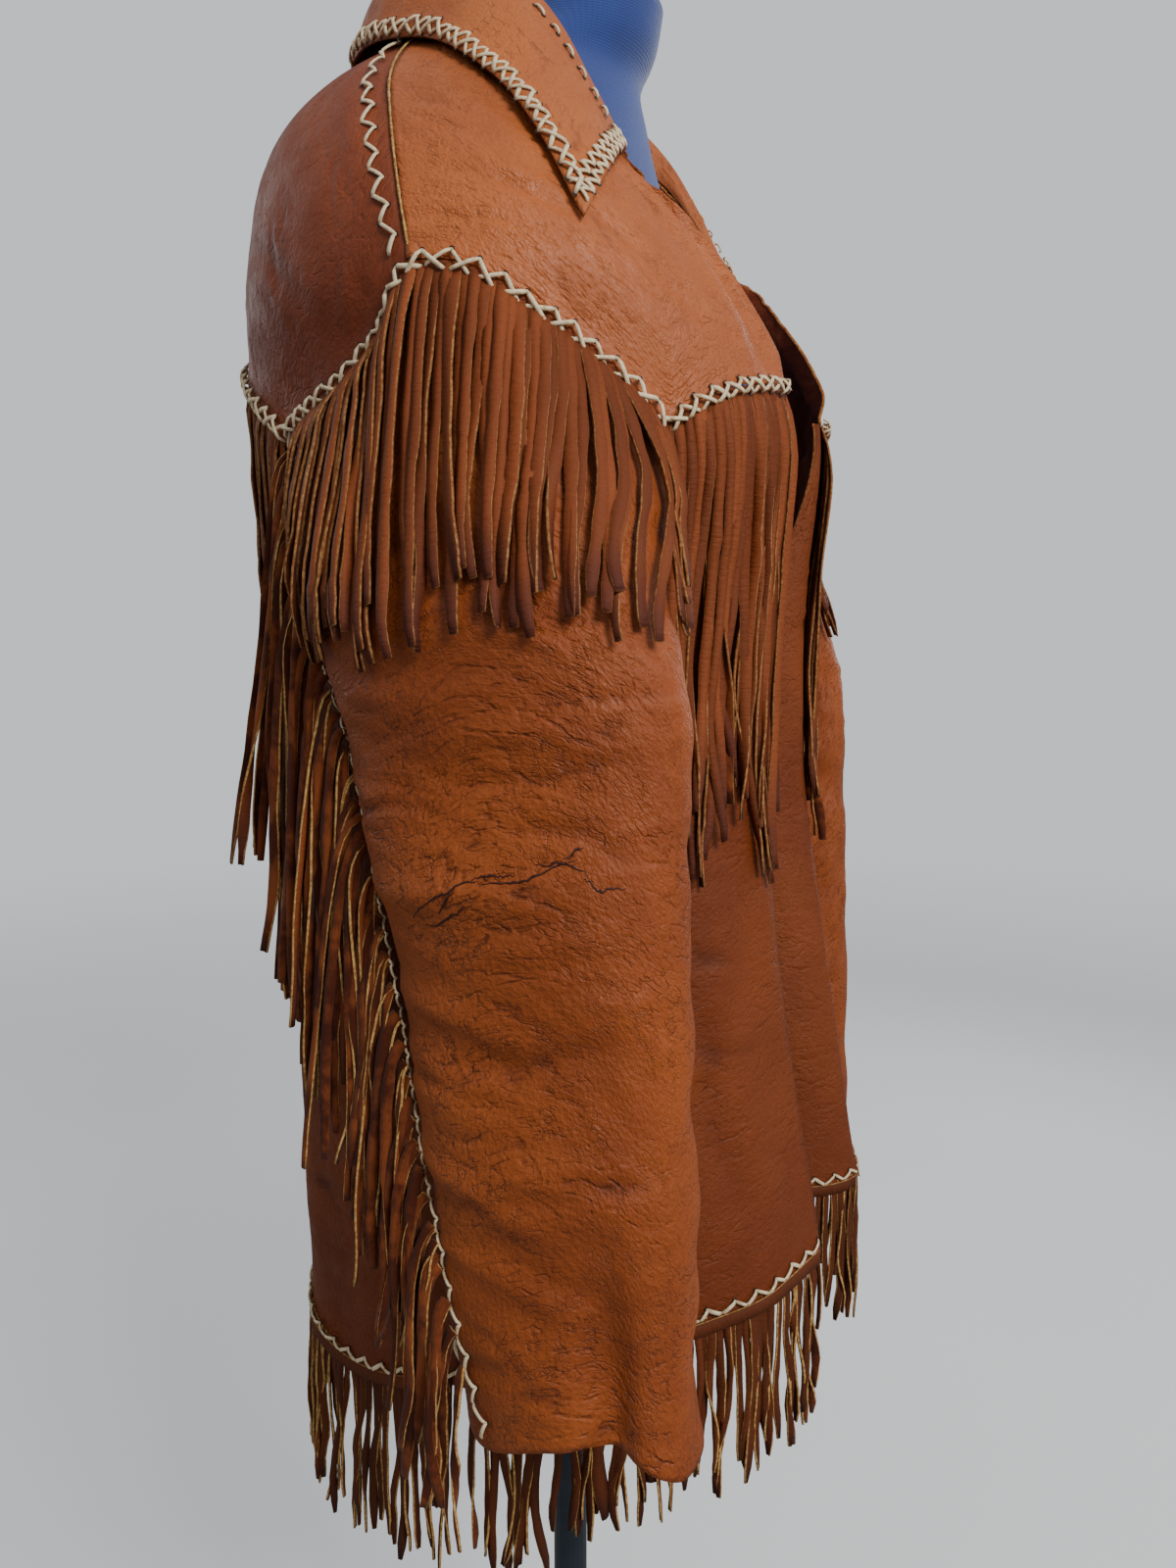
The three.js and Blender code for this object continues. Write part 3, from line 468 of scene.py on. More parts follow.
# ---- shader groups ---------------------------------------------------------------------------------
def node_group(name, inputs, outputs):
    """An empty shader group with named inputs, given as (name, kind, value), and outputs."""
    group = bpy.data.node_groups.new(name, "ShaderNodeTree")
    for label, kind, value in inputs:
        socket = group.interface.new_socket(label, in_out="INPUT", socket_type="NodeSocket" + kind)
        if value is not None:
            socket.default_value = value
    for label, kind in outputs:
        group.interface.new_socket(label, in_out="OUTPUT", socket_type="NodeSocket" + kind)
    return group, group.nodes.new("NodeGroupInput"), group.nodes.new("NodeGroupOutput")


def plug(tree, value, socket):
    if isinstance(value, bpy.types.NodeSocket):
        tree.links.new(value, socket)
    else:
        socket.default_value = value


def maths(tree, operation, a, b=0.0, clamp=False):
    node = tree.nodes.new("ShaderNodeMath")
    node.operation = operation
    node.use_clamp = clamp
    plug(tree, a, node.inputs[0])
    plug(tree, b, node.inputs[1])
    return node.outputs[0]


def ramp(tree, value, low, high, to_low=0.0, to_high=1.0):
    node = tree.nodes.new("ShaderNodeMapRange")
    node.interpolation_type = "SMOOTHSTEP"
    for socket, item in zip(node.inputs, (value, low, high, to_low, to_high)):
        plug(tree, item, socket)
    return node.outputs[0]


def tint(tree, factor, a, b, blend="MIX"):
    node = tree.nodes.new("ShaderNodeMix")
    node.data_type = "RGBA"
    node.blend_type = blend
    plug(tree, factor, node.inputs[0])
    plug(tree, a, node.inputs[6])
    plug(tree, b, node.inputs[7])
    return node.outputs[2]


def stretched(tree, vector, scale, shift=(0, 0, 0)):
    node = tree.nodes.new("ShaderNodeMapping")
    plug(tree, vector, node.inputs["Vector"])
    node.inputs["Location"].default_value = shift
    node.inputs["Scale"].default_value = scale
    return node.outputs[0]


def cloudy(tree, vector, scale, detail=3.0, rough=0.55, distortion=0.0):
    node = tree.nodes.new("ShaderNodeTexNoise")
    plug(tree, vector, node.inputs["Vector"])
    plug(tree, scale, node.inputs["Scale"])
    node.inputs["Detail"].default_value = detail
    node.inputs["Roughness"].default_value = rough
    node.inputs["Distortion"].default_value = distortion
    return node.outputs["Fac"]


def cells(tree, vector, scale, feature="F1"):
    node = tree.nodes.new("ShaderNodeTexVoronoi")
    node.feature = feature
    plug(tree, vector, node.inputs["Vector"])
    plug(tree, scale, node.inputs["Scale"])
    return node.outputs["Distance"]


def colour(hexadecimal):
    """A linear colour from its usual sRGB hex value."""
    parts = [int(hexadecimal[i : i + 2], 16) / 255 for i in (0, 2, 4)]
    return tuple(c / 12.92 if c <= 0.04045 else ((c + 0.055) / 1.055) ** 2.4 for c in parts) + (1,)


def hide_tone_group():
    """Cloudy dyeing of a hide: broad patches, small mottling and rubbed ridges, with painted shade darkening
    its creases.
    """
    group, given, result = node_group(
        "hide_tone",
        [
            ("Vector", "Vector", None),
            ("Light", "Color", colour("C0703A")),
            ("Middle", "Color", colour("A4572C")),
            ("Dark", "Color", colour("7A3A1C")),
            ("Crease", "Float", 0.0),
            ("Rubbed", "Float", 0.5),
        ],
        [("Color", "Color"), ("Wear", "Float")],
    )
    vector = given.outputs["Vector"]
    patches = ramp(group, cloudy(group, vector, 7.0, 2.0), 0.36, 0.66)
    mottle = ramp(group, cloudy(group, vector, 45.0, 4.0, 0.65), 0.3, 0.72)
    fine = ramp(group, cloudy(group, vector, 420.0, 2.0, 0.7), 0.3, 0.75)
    base = tint(
        group, maths(group, "MULTIPLY", patches, 0.85), given.outputs["Middle"], given.outputs["Light"]
    )
    base = tint(group, maths(group, "MULTIPLY", mottle, 0.3), base, given.outputs["Light"])
    base = tint(group, maths(group, "MULTIPLY", fine, 0.22), base, given.outputs["Dark"])
    # painted shade: the crease value darkens the colour towards Dark along sunken creases and wrinkle lines
    crease = ramp(group, given.outputs["Crease"], 0.05, 0.9)
    base = tint(group, maths(group, "MULTIPLY", crease, 0.75), base, given.outputs["Dark"])
    wear = maths(group, "MULTIPLY", mottle, given.outputs["Rubbed"], clamp=True)
    group.links.new(base, result.inputs["Color"])
    group.links.new(wear, result.inputs["Wear"])
    return group


def cell_edges(tree, vector, scale):
    """How far a place is from the edge of its cell."""
    node = tree.nodes.new("ShaderNodeTexVoronoi")
    node.feature = "DISTANCE_TO_EDGE"
    plug(tree, vector, node.inputs["Vector"])
    plug(tree, scale, node.inputs["Scale"])
    return node.outputs["Distance"]


def warped(tree, vector, scale, reach):
    """The place pushed about by a slow noise, so that cell edges wander."""
    noise = tree.nodes.new("ShaderNodeTexNoise")
    noise.inputs["Scale"].default_value = scale
    noise.inputs["Detail"].default_value = 3.0
    plug(tree, vector, noise.inputs["Vector"])
    centred = tree.nodes.new("ShaderNodeVectorMath")
    centred.operation = "MULTIPLY_ADD"
    tree.links.new(noise.outputs["Color"], centred.inputs[0])
    centred.inputs[1].default_value = (reach, reach, reach)
    plug(tree, vector, centred.inputs[2])
    return centred.outputs[0]


def grain_group():
    """The grain side: pebbles, wrinkles that mostly run crosswise, and soft unevenness."""
    group, given, result = node_group(
        "leather_grain",
        [
            ("Vector", "Vector", None),
            ("Pebble", "Float", 330.0),
            ("Wrinkle", "Float", 60.0),
            ("Depth", "Float", 1.0),
        ],
        [("Height", "Float"), ("Lines", "Float")],
    )
    vector = given.outputs["Vector"]
    pebble = cells(group, vector, given.outputs["Pebble"])
    finer = cells(group, vector, maths(group, "MULTIPLY", given.outputs["Pebble"], 2.3))
    lines = 0.0
    shaken = warped(group, vector, 95.0, 0.0045)
    # how far each size of wrinkle is stretched, its share of the scale, its patches' scale, its strength
    sizes = ((0.36, 1.0, 9.0, 1.0), (0.42, 2.4, 15.0, 0.8), (0.7, 4.6, 22.0, 0.5))
    for stretch, share, low, strength in sizes:
        across = stretched(group, shaken, (stretch, 1.0, 1.0))
        scale = maths(group, "MULTIPLY", given.outputs["Wrinkle"], share)
        line = ramp(group, cell_edges(group, across, scale), 0.0, 0.11, strength, 0.0)
        broken = ramp(group, cloudy(group, vector, 120.0, 2.0), 0.4, 0.6)
        place = ramp(group, cloudy(group, vector, low, 2.0), 0.4, 0.62)
        place = maths(group, "MULTIPLY", place, broken)
        lines = maths(group, "ADD", lines, maths(group, "MULTIPLY", line, place))
    soft = cloudy(group, vector, 26.0, 3.0, 0.5)
    height = maths(group, "ADD", maths(group, "MULTIPLY", pebble, 0.3), maths(group, "MULTIPLY", finer, 0.16))
    height = maths(group, "SUBTRACT", height, maths(group, "MULTIPLY", lines, 0.5))
    height = maths(group, "ADD", height, maths(group, "MULTIPLY", soft, 0.9))
    group.links.new(maths(group, "MULTIPLY", height, given.outputs["Depth"]), result.inputs["Height"])
    # Lines: the wrinkle lines, which grain_side paints as shade in the colour
    group.links.new(maths(group, "MULTIPLY", lines, 1.0, clamp=True), result.inputs["Lines"])
    return group


def nap_group():
    """The flesh side: short brushed nap with darker and paler fibres."""
    group, given, result = node_group(
        "suede_nap",
        [
            ("Vector", "Vector", None),
            ("Pale", "Color", colour("A8673A")),
            ("Deep", "Color", colour("5E2C14")),
        ],
        [("Color", "Color"), ("Height", "Float")],
    )
    vector = given.outputs["Vector"]
    fibres = cloudy(group, stretched(group, vector, (1.0, 0.35, 1.0)), 900.0, 3.0, 0.7)
    brushed = ramp(group, cloudy(group, vector, 26.0, 3.0, 0.6, 0.5), 0.32, 0.7)
    shade = maths(group, "MULTIPLY", brushed, 0.6)
    shade = maths(group, "ADD", shade, maths(group, "MULTIPLY", fibres, 0.45))
    group.links.new(
        tint(group, ramp(group, shade, 0.3, 0.85), given.outputs["Deep"], given.outputs["Pale"]),
        result.inputs["Color"],
    )
    group.links.new(fibres, result.inputs["Height"])
    return group


HIDE_TONE = hide_tone_group()
LEATHER_GRAIN = grain_group()
SUEDE_NAP = nap_group()


def placed(tree, group, **values):
    """A group node with its named inputs set or linked; an underscore stands for a space."""
    node = tree.nodes.new("ShaderNodeGroup")
    node.node_tree = group
    for label, value in values.items():
        plug(tree, value, node.inputs[label.replace("_", " ")])
    return node


def fresh_material(name):
    material = bpy.data.materials.new(name)
    material.use_nodes = True
    tree = material.node_tree
    shader = next(n for n in tree.nodes if n.type == "BSDF_PRINCIPLED")
    return material, tree, shader


def attribute(tree, name):
    node = tree.nodes.new("ShaderNodeAttribute")
    node.attribute_name = name
    return node.outputs["Fac"]


def flat_place(tree):
    """The place on the flat hide in metres, from the piece's own UV map."""
    node = tree.nodes.new("ShaderNodeUVMap")
    node.uv_map = "flat"
    return node.outputs[0]


def object_place(tree):
    return tree.nodes.new("ShaderNodeTexCoord").outputs["Object"]


def bumped(tree, shader, height, distance, strength=1.0):
    node = tree.nodes.new("ShaderNodeBump")
    node.inputs["Strength"].default_value = strength
    node.inputs["Distance"].default_value = distance
    plug(tree, height, node.inputs["Height"])
    tree.links.new(node.outputs[0], shader.inputs["Normal"])


def grain_side(name, light, middle, dark, roughness=0.55, depth=1.0, wrinkle=60.0, line_shade=0.45, shine=0.4):
    material, tree, shader = fresh_material(name)
    place = flat_place(tree)
    grain = placed(tree, LEATHER_GRAIN, Vector=place, Depth=depth, Wrinkle=wrinkle)
    # painted shade: the grain's wrinkle lines and the panel's sunken creases darken the colour
    lines = maths(tree, "MULTIPLY", grain.outputs["Lines"], line_shade)
    crease = maths(tree, "ADD", attribute(tree, "crease"), lines, clamp=True)
    tone = placed(
        tree, HIDE_TONE, Vector=place, Light=light, Middle=middle, Dark=dark, Crease=crease, Rubbed=0.6
    )
    tree.links.new(tone.outputs["Color"], shader.inputs["Base Color"])
    rough = ramp(tree, tone.outputs["Wear"], 0.0, 0.6, roughness + 0.07, roughness - 0.08)
    tree.links.new(rough, shader.inputs["Roughness"])
    shader.inputs["Specular IOR Level"].default_value = shine
    bumped(tree, shader, grain.outputs["Height"], 0.0016, 0.8)
    return material


def flesh_side(name, pale, deep):
    material, tree, shader = fresh_material(name)
    nap = placed(tree, SUEDE_NAP, Vector=flat_place(tree), Pale=pale, Deep=deep)
    tree.links.new(nap.outputs["Color"], shader.inputs["Base Color"])
    shader.inputs["Roughness"].default_value = 0.92
    shader.inputs["Specular IOR Level"].default_value = 0.12
    shader.inputs["Sheen Weight"].default_value = 0.06
    bumped(tree, shader, nap.outputs["Height"], 0.0007, 0.7)
    return material


def cut_edge(name, pale, deep):
    material, tree, shader = fresh_material(name)
    speck = cloudy(tree, object_place(tree), 380.0, 3.0, 0.7)
    tone = tint(tree, ramp(tree, speck, 0.32, 0.72), deep, pale)
    tree.links.new(tone, shader.inputs["Base Color"])
    shader.inputs["Roughness"].default_value = 0.85
    shader.inputs["Specular IOR Level"].default_value = 0.2
    bumped(tree, shader, speck, 0.0005, 0.6)
    return material


def strand_grain(name, light, middle, dark, tip):
    """The grain side of a strand, wrinkled across and darker towards its tip."""
    material, tree, shader = fresh_material(name)
    place = flat_place(tree)
    fall = attribute(tree, "fall")
    tone = placed(
        tree, HIDE_TONE, Vector=place, Light=light, Middle=middle, Dark=dark, Crease=0.0, Rubbed=0.5
    )
    each = attribute(tree, "shade")
    varied = tint(tree, maths(tree, "MULTIPLY", each, 0.55), tone.outputs["Color"], dark)
    ends = maths(tree, "MULTIPLY", ramp(tree, fall, 0.72, 1.0), 0.75)
    tree.links.new(tint(tree, ends, varied, tip), shader.inputs["Base Color"])
    shader.inputs["Roughness"].default_value = 0.72
    shader.inputs["Specular IOR Level"].default_value = 0.2
    across = stretched(tree, place, (0.25, 1.0, 1.0))
    wrinkle = cloudy(tree, across, 430.0, 3.0, 0.6, 0.4)
    bumped(tree, shader, wrinkle, 0.0011, 0.8)
    return material


def lace_leather(name, pale, worn):
    material, tree, shader = fresh_material(name)
    speck = cloudy(tree, object_place(tree), 260.0, 3.0, 0.65)
    tone = tint(tree, ramp(tree, speck, 0.42, 0.78), pale, worn)
    tree.links.new(tone, shader.inputs["Base Color"])
    shader.inputs["Roughness"].default_value = 0.62
    shader.inputs["Specular IOR Level"].default_value = 0.35
    bumped(tree, shader, speck, 0.0004, 0.5)
    return material


def form_jersey(name):
    """The knitted cover of the form: fine rows and columns of loops."""
    material, tree, shader = fresh_material(name)
    place = object_place(tree)
    split = tree.nodes.new("ShaderNodeSeparateXYZ")
    tree.links.new(place, split.inputs[0])
    rows = maths(tree, "SINE", maths(tree, "MULTIPLY", split.outputs[2], math.tau / 0.0016))
    columns = maths(tree, "SINE", maths(tree, "MULTIPLY", split.outputs[0], math.tau / 0.0021))
    loops = maths(tree, "ADD", maths(tree, "MULTIPLY", rows, 0.5), maths(tree, "MULTIPLY", columns, 0.35))
    fade = ramp(tree, cloudy(tree, place, 9.0, 3.0), 0.3, 0.7)
    tone = tint(tree, fade, colour("1B3478"), colour("24428C"))
    tree.links.new(
        tint(tree, ramp(tree, loops, -0.8, 0.8, 0.0, 0.25), tone, colour("10245E")),
        shader.inputs["Base Color"],
    )
    shader.inputs["Roughness"].default_value = 0.88
    shader.inputs["Sheen Weight"].default_value = 0.3
    bumped(tree, shader, loops, 0.0003, 0.5)
    return material


def worn_plain(name, tone, deep, roughness, metallic=0.0):
    """Moulded plastic or painted steel with faint clouding, scuffs and fine bump."""
    material, tree, shader = fresh_material(name)
    place = object_place(tree)
    cloud = ramp(tree, cloudy(tree, place, 14.0, 3.0), 0.3, 0.7)
    scuff = ramp(tree, cloudy(tree, place, 160.0, 5.0, 0.7), 0.55, 0.75)
    tree.links.new(tint(tree, cloud, deep, tone), shader.inputs["Base Color"])
    rough = ramp(tree, scuff, 0.0, 1.0, roughness, roughness + 0.18)
    tree.links.new(rough, shader.inputs["Roughness"])
    shader.inputs["Metallic"].default_value = metallic
    bumped(tree, shader, cloudy(tree, place, 900.0, 2.0), 0.0001, 0.4)
    return material


# painted shade: the body's buckskin as a darker copy of the yoke and sleeve leather, standing in for the
# shade on the lower body
SHADED_BODY_GRAIN = grain_side(
    "body_hide", colour("7E3C16"), colour("662C0F"), colour("3A1607"), 0.6, 1.0, 60.0, 0.1, 0.22
)
SLEEVE_GRAIN = grain_side(
    "sleeve_hide", colour("9E4F1E"), colour("823C14"), colour("451A09"), 0.57, 1.3, 92.0, 0.32, 0.3
)
YOKE_GRAIN = grain_side(
    "yoke_hide", colour("B6622E"), colour("9C5024"), colour("56220E"), 0.53, 1.1, 80.0, 0.16
)
# painted shade: the back yoke's buckskin as a darker copy of the front yoke's leather, for its side turned
# from the light
SHADED_BLADE_GRAIN = grain_side(
    "back_yoke_hide", colour("8E4624"), colour("743218"), colour("42180A"), 0.62, 1.0, 60.0, 0.12, 0.3
)
COLLAR_GRAIN = grain_side("collar_hide", colour("B8662F"), colour("A25428"), colour("602C14"), 0.58, 0.8)
FLESH = flesh_side("hide_flesh_side", colour("964A28"), colour("6E2E18"))
HIDE_EDGE = cut_edge("hide_cut_edge", colour("A8713A"), colour("6A3416"))
STRAND_GRAIN = strand_grain(
    "strand_grain_side", colour("8E4824"), colour("763A1A"), colour("4A200F"), colour("45201B")
)
# painted shade: the hem strands' leather as a darker copy of the strand leather, for the low strands in shade
SHADED_HEM_GRAIN = strand_grain(
    "hem_strand_grain", colour("6A3216"), colour("56280F"), colour("36180A"), colour("38190F")
)
STRAND_FLESH = flesh_side("strand_flesh_side", colour("7E4020"), colour("441C0E"))
STRAND_EDGE = cut_edge("strand_cut_edge", colour("A87A4A"), colour("6E4022"))
ARM_EDGE = cut_edge("arm_strand_cut_edge", colour("CFA868"), colour("8A5E30"))
LACE = lace_leather("lace_leather", colour("DDCCAA"), colour("A88C64"))
# painted shade: the dark inside of the lace holes
HOLE_SHADE = lace_leather("lace_hole", colour("2A130B"), colour("1C0C07"))
CRACK = lace_leather("cracked_grain", colour("3A160A"), colour("200A05"))
JERSEY = form_jersey("form_jersey")
CAP_PLASTIC = worn_plain("cap_plastic", colour("3A3F44"), colour("2E3236"), 0.35)
STEEL = worn_plain("stand_steel", colour("333C47"), colour("262D36"), 0.42, 0.6)


# ---- making pieces ---------------------------------------------------------------------------------
def finish_piece(obj, nodes=()):
    bpy.context.scene.collection.objects.link(obj)
    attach(obj, "root")
    if nodes:
        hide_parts(*nodes)
    return obj


def give_values(mesh, name, values):
    layer = mesh.attributes.new(name, "FLOAT", "POINT")
    layer.data.foreach_set("value", np.asarray(values, np.float32))


def thickened(obj, thickness, offset):
    """A wall on the grid: the flesh side takes the second material and the cut edge the third."""
    wall = obj.modifiers.new("wall", "SOLIDIFY")
    wall.thickness = thickness * MM
    wall.offset = offset
    wall.use_even_offset = False
    wall.use_rim = True
    wall.material_offset = 1
    wall.material_offset_rim = 2


def panel(name, surface, grid, flat, relief, inside, materials, nodes, closed=False):
    """A panel of leather. relief(u, v, place) gives how far each point stands out, and its dips, which are
    painted as shade in the colour.
    """
    bm = bmesh.new()
    bm.loops.layers.uv.new("flat")
    bmesh.ops.create_grid(
        bm, x_segments=grid[0], y_segments=grid[1], size=0.5, calc_uvs=True
    )
    mesh = bpy.data.meshes.new(name)
    bm.to_mesh(mesh)
    bm.free()
    spot = np.empty(3 * len(mesh.vertices))
    mesh.vertices.foreach_get("co", spot)
    u, v = spot.reshape(-1, 3)[:, 0] + 0.5, spot.reshape(-1, 3)[:, 1] + 0.5
    place = surface(u, v)
    reach = (0.5 / grid[0], 0.5 / grid[1])
    normal = normal_of(surface, u, v, inside(place), reach)
    out, dip_shade = relief(u, v, place)
    place = place + normal * out[:, None]
    mesh.vertices.foreach_set("co", (place * MM).ravel())
    corners = np.empty(2 * len(mesh.loops))
    layer = mesh.uv_layers["flat"].uv
    layer.foreach_get("vector", corners)
    layer.foreach_set("vector", (corners.reshape(-1, 2) * np.array(flat) * MM).ravel())
    # the dips of the sunken creases, kept for painted shade in the colour
    give_values(mesh, "crease", dip_shade)
    mesh.update()
    face = mesh.polygons[len(mesh.polygons) // 2]
    if np.dot(face.normal, normal[face.vertices[0]]) < 0:
        mesh.flip_normals()
    if closed:
        bm = bmesh.new()
        bm.from_mesh(mesh)
        bmesh.ops.remove_doubles(bm, verts=bm.verts, dist=0.00001)
        bm.to_mesh(mesh)
        bm.free()
    mesh.shade_smooth()
    for material in materials:
        mesh.materials.append(material)
    obj = bpy.data.objects.new(name, mesh)
    thickened(obj, SKIN, -1)
    return finish_piece(obj, nodes)


def ribbons(name, runs, across, materials, nodes=(), thickness=STRAND_SKIN):
    """Many strips in one piece. Each run holds its middle line, facing, width, cup, fall and shade."""
    bm = bmesh.new()
    bm.loops.layers.uv.new("flat")
    fall_layer = bm.verts.layers.float.new("fall")
    shade_layer = bm.verts.layers.float.new("shade")
    uv_layer = bm.loops.layers.uv["flat"]
    for k, run in enumerate(runs):
        middle, facing = run["middle"], run["facing"]
        count = len(middle)
        made = bmesh.ops.create_grid(
            bm, x_segments=across, y_segments=count - 1, size=0.5, calc_uvs=True
        )["verts"]
        along = unit(np.gradient(middle, axis=0))
        sideways = unit(np.cross(facing, along))
        facing = unit(np.cross(along, sideways))
        steps = np.linalg.norm(np.diff(middle, axis=0), axis=1)
        drop = np.concatenate([[0], np.cumsum(steps)])
        for vert in made:
            s = vert.co.x * 2
            j = int(round((vert.co.y + 0.5) * (count - 1)))
            half = run["width"][j] / 2
            cup = run["cup"] * half * (s * s - 1)
            place = middle[j] - sideways[j] * half * s + facing[j] * cup
            vert.co = Vector(place) * MM
            vert[fall_layer] = j / (count - 1)
            vert[shade_layer] = run["shade"]
        for face in {f for vert in made for f in vert.link_faces}:
            for loop in face.loops:
                s, t = loop[uv_layer].uv
                j = int(round(t * (count - 1)))
                flat = ((s - 0.5) * run["width"][j] + 37 * k, drop[j])
                loop[uv_layer].uv = (flat[0] * MM, flat[1] * MM)
    mesh = bpy.data.meshes.new(name)
    bm.to_mesh(mesh)
    bm.free()
    mesh.shade_smooth()
    for material in materials:
        mesh.materials.append(material)
    obj = bpy.data.objects.new(name, mesh)
    thickened(obj, thickness, 0)
    return finish_piece(obj, nodes)


# ---- creases of each panel, in the panel's own millimetres ---------------------------------------------
# On the sleeves x is the place from front (-) to back (+), as on the body's side view.
SLEEVE_CREASES = table(
    CREASE_COLUMNS,
    (-120, 700, 10, 742, 6, 7, 2.2),
    (-150, 742, -20, 716, -5, 6, -1.8),
    (-110, 796, 8, 820, 6, 7, 2.4),
    (-140, 812, -40, 786, -4, 6, -2.0),
    (-150, 862, -60, 846, 5, 6, 1.8),
    (-90, 884, 18, 878, -6, 7, 2.4),
    (-140, 906, -70, 914, 3, 5, -1.6),
    (-50, 918, 22, 912, 5, 2.2, -2.4),
    (-60, 923, 0, 932, 2, 1.8, -2.2),
    (-112, 936, -40, 928, 6, 2.0, -2.0),
    (-66, 934, -30, 944, -3, 1.6, -1.6),
    (-130, 960, -20, 948, 5, 8, 2.0),
    (-100, 985, 24, 975, -7, 9, 2.2),
    (-140, 1010, -50, 1020, 4, 7, -1.6),
    (-130, 664, -30, 690, 5, 6, 1.8),
    (-100, 640, -40, 628, -5, 6, -1.6),
    (-98, 770, 0, 776, 3, 4, -1.4),
    (-144, 838, -96, 830, 3, 4, -1.3),
)
FRONT_CREASES = table(
    CREASE_COLUMNS,
    (60, 700, 110, 960, 8, 12, 2.4),
    (110, 640, 150, 860, -8, 12, -2.6),
    (170, 660, 190, 930, 6, 14, 2.4),
    (210, 620, 225, 840, -6, 12, -2.2),
    (90, 880, 200, 912, 5, 7, 1.3),
    (120, 760, 240, 742, -5, 7, 1.1),
    (70, 1020, 160, 1050, 5, 8, -1.4),
    (240, 600, 260, 800, 6, 12, 2.2),
)
BACK_CREASES = table(
    CREASE_COLUMNS,
    (330, 620, 372, 900, 8, 13, 2.6),
    (410, 600, 440, 860, -9, 14, -2.8),
    (480, 640, 500, 930, 7, 14, 2.5),
    (560, 610, 540, 880, -8, 14, -2.6),
    (600, 640, 630, 800, 6, 12, 2.0),
    (360, 980, 480, 1010, 8, 8, 1.6),
    (440, 1040, 590, 1060, -8, 9, -1.6),
    (390, 900, 470, 930, 5, 7, 1.3),
)
YOKE_FRONT_CREASES = table(
    CREASE_COLUMNS,
    (168, 1224, 262, 1290, 8, 5, -1.8),
    (190, 1212, 282, 1262, 6, 4, 1.5),
    (150, 1192, 236, 1240, 6, 5, -1.6),
    (240, 1296, 300, 1330, -5, 5, 1.4),
    (130, 1180, 190, 1216, 4, 3.5, 1.3),
    (228, 1232, 296, 1250, 4, 3, -1.4),
    (246, 1220, 304, 1228, 3, 3, -1.3),
    (110, 1236, 168, 1296, 6, 6, 1.2),
)
YOKE_BACK_CREASES = table(
    CREASE_COLUMNS,
    (330, 1236, 400, 1330, 10, 8, 1.6),
    (380, 1190, 470, 1250, 8, 7, -1.6),
    (470, 1220, 590, 1246, -8, 8, 1.5),
    (500, 1270, 620, 1300, 6, 7, -1.3),
    (336, 1290, 372, 1350, 5, 5, -1.4),
)
ROUND = 3.5  # millimetres for each degree round the body, in the tables above
GIRTH = {"half": 200, "depth": 180, "middle": 10}  # the oval on which those degrees are counted


def small_creases(seed, across, up, count, reach, tilt, field):
    """The relief of many short, shallow creases, strewn over a field of a panel."""
    dice = random.Random(seed)
    rows = []
    for _ in range(count):
        x = dice.uniform(*field[:2])
        z = dice.uniform(*field[2:])
        heading = math.radians(dice.gauss(tilt, 22))
        length = dice.uniform(*reach)
        deep = dice.choice((-1, -1, 1)) * dice.uniform(0.35, 1.0)
        bow = dice.uniform(-0.18, 0.18) * length
        width = dice.uniform(2.2, 4.2)
        step = (length * math.cos(heading), length * math.sin(heading))
        rows.append((x, z, x + step[0], z + step[1], bow, width, deep))
    return creases(table(CREASE_COLUMNS, *rows), across, up)


def puckers(along, off, pitch=14.0, reach=11.0, height=0.9):
    """Small swells between the stitches beside a laced edge, off millimetres from it."""
    return height * bump(off, reach) * (0.5 + 0.5 * np.cos(along * math.tau / pitch))


def relief_of(rows, seed, count, reach, tilt, field, soft=1.6, lift=None):
    """Joins a panel's table of creases, small strewn ones, soft unevenness and its edges."""

    def relief(u, v, place):
        ahead = -(place[:, 1] - GIRTH["middle"]) / GIRTH["depth"]
        phi = np.degrees(np.arctan2(np.abs(place[:, 0]) / GIRTH["half"], ahead))
        across, up = phi * ROUND, place[:, 2]
        mirrored = np.where(place[:, 0] < 0, 0.0, 1.0)
        sway = ripple(across, up, 90, seed) * 4
        out, dip_shade = creases(rows, across + sway + 9 * mirrored, up + sway + 6 * mirrored)
        round_body = np.where(place[:, 0] < 0, across, 2 * BACK * ROUND - across)
        small, small_dip_shade = small_creases(seed + 1, round_body, up, count, reach, tilt, field)
        out = out + small + soft * ripple(across + 500 * mirrored, up, 120, seed + 2)
        if lift is not None:
            out = out + lift(u, v, place)
        # the second result is painted shade along the sunken creases
        return out, np.clip(0.12 * dip_shade + 0.4 * small_dip_shade, 0, 1)

    return relief


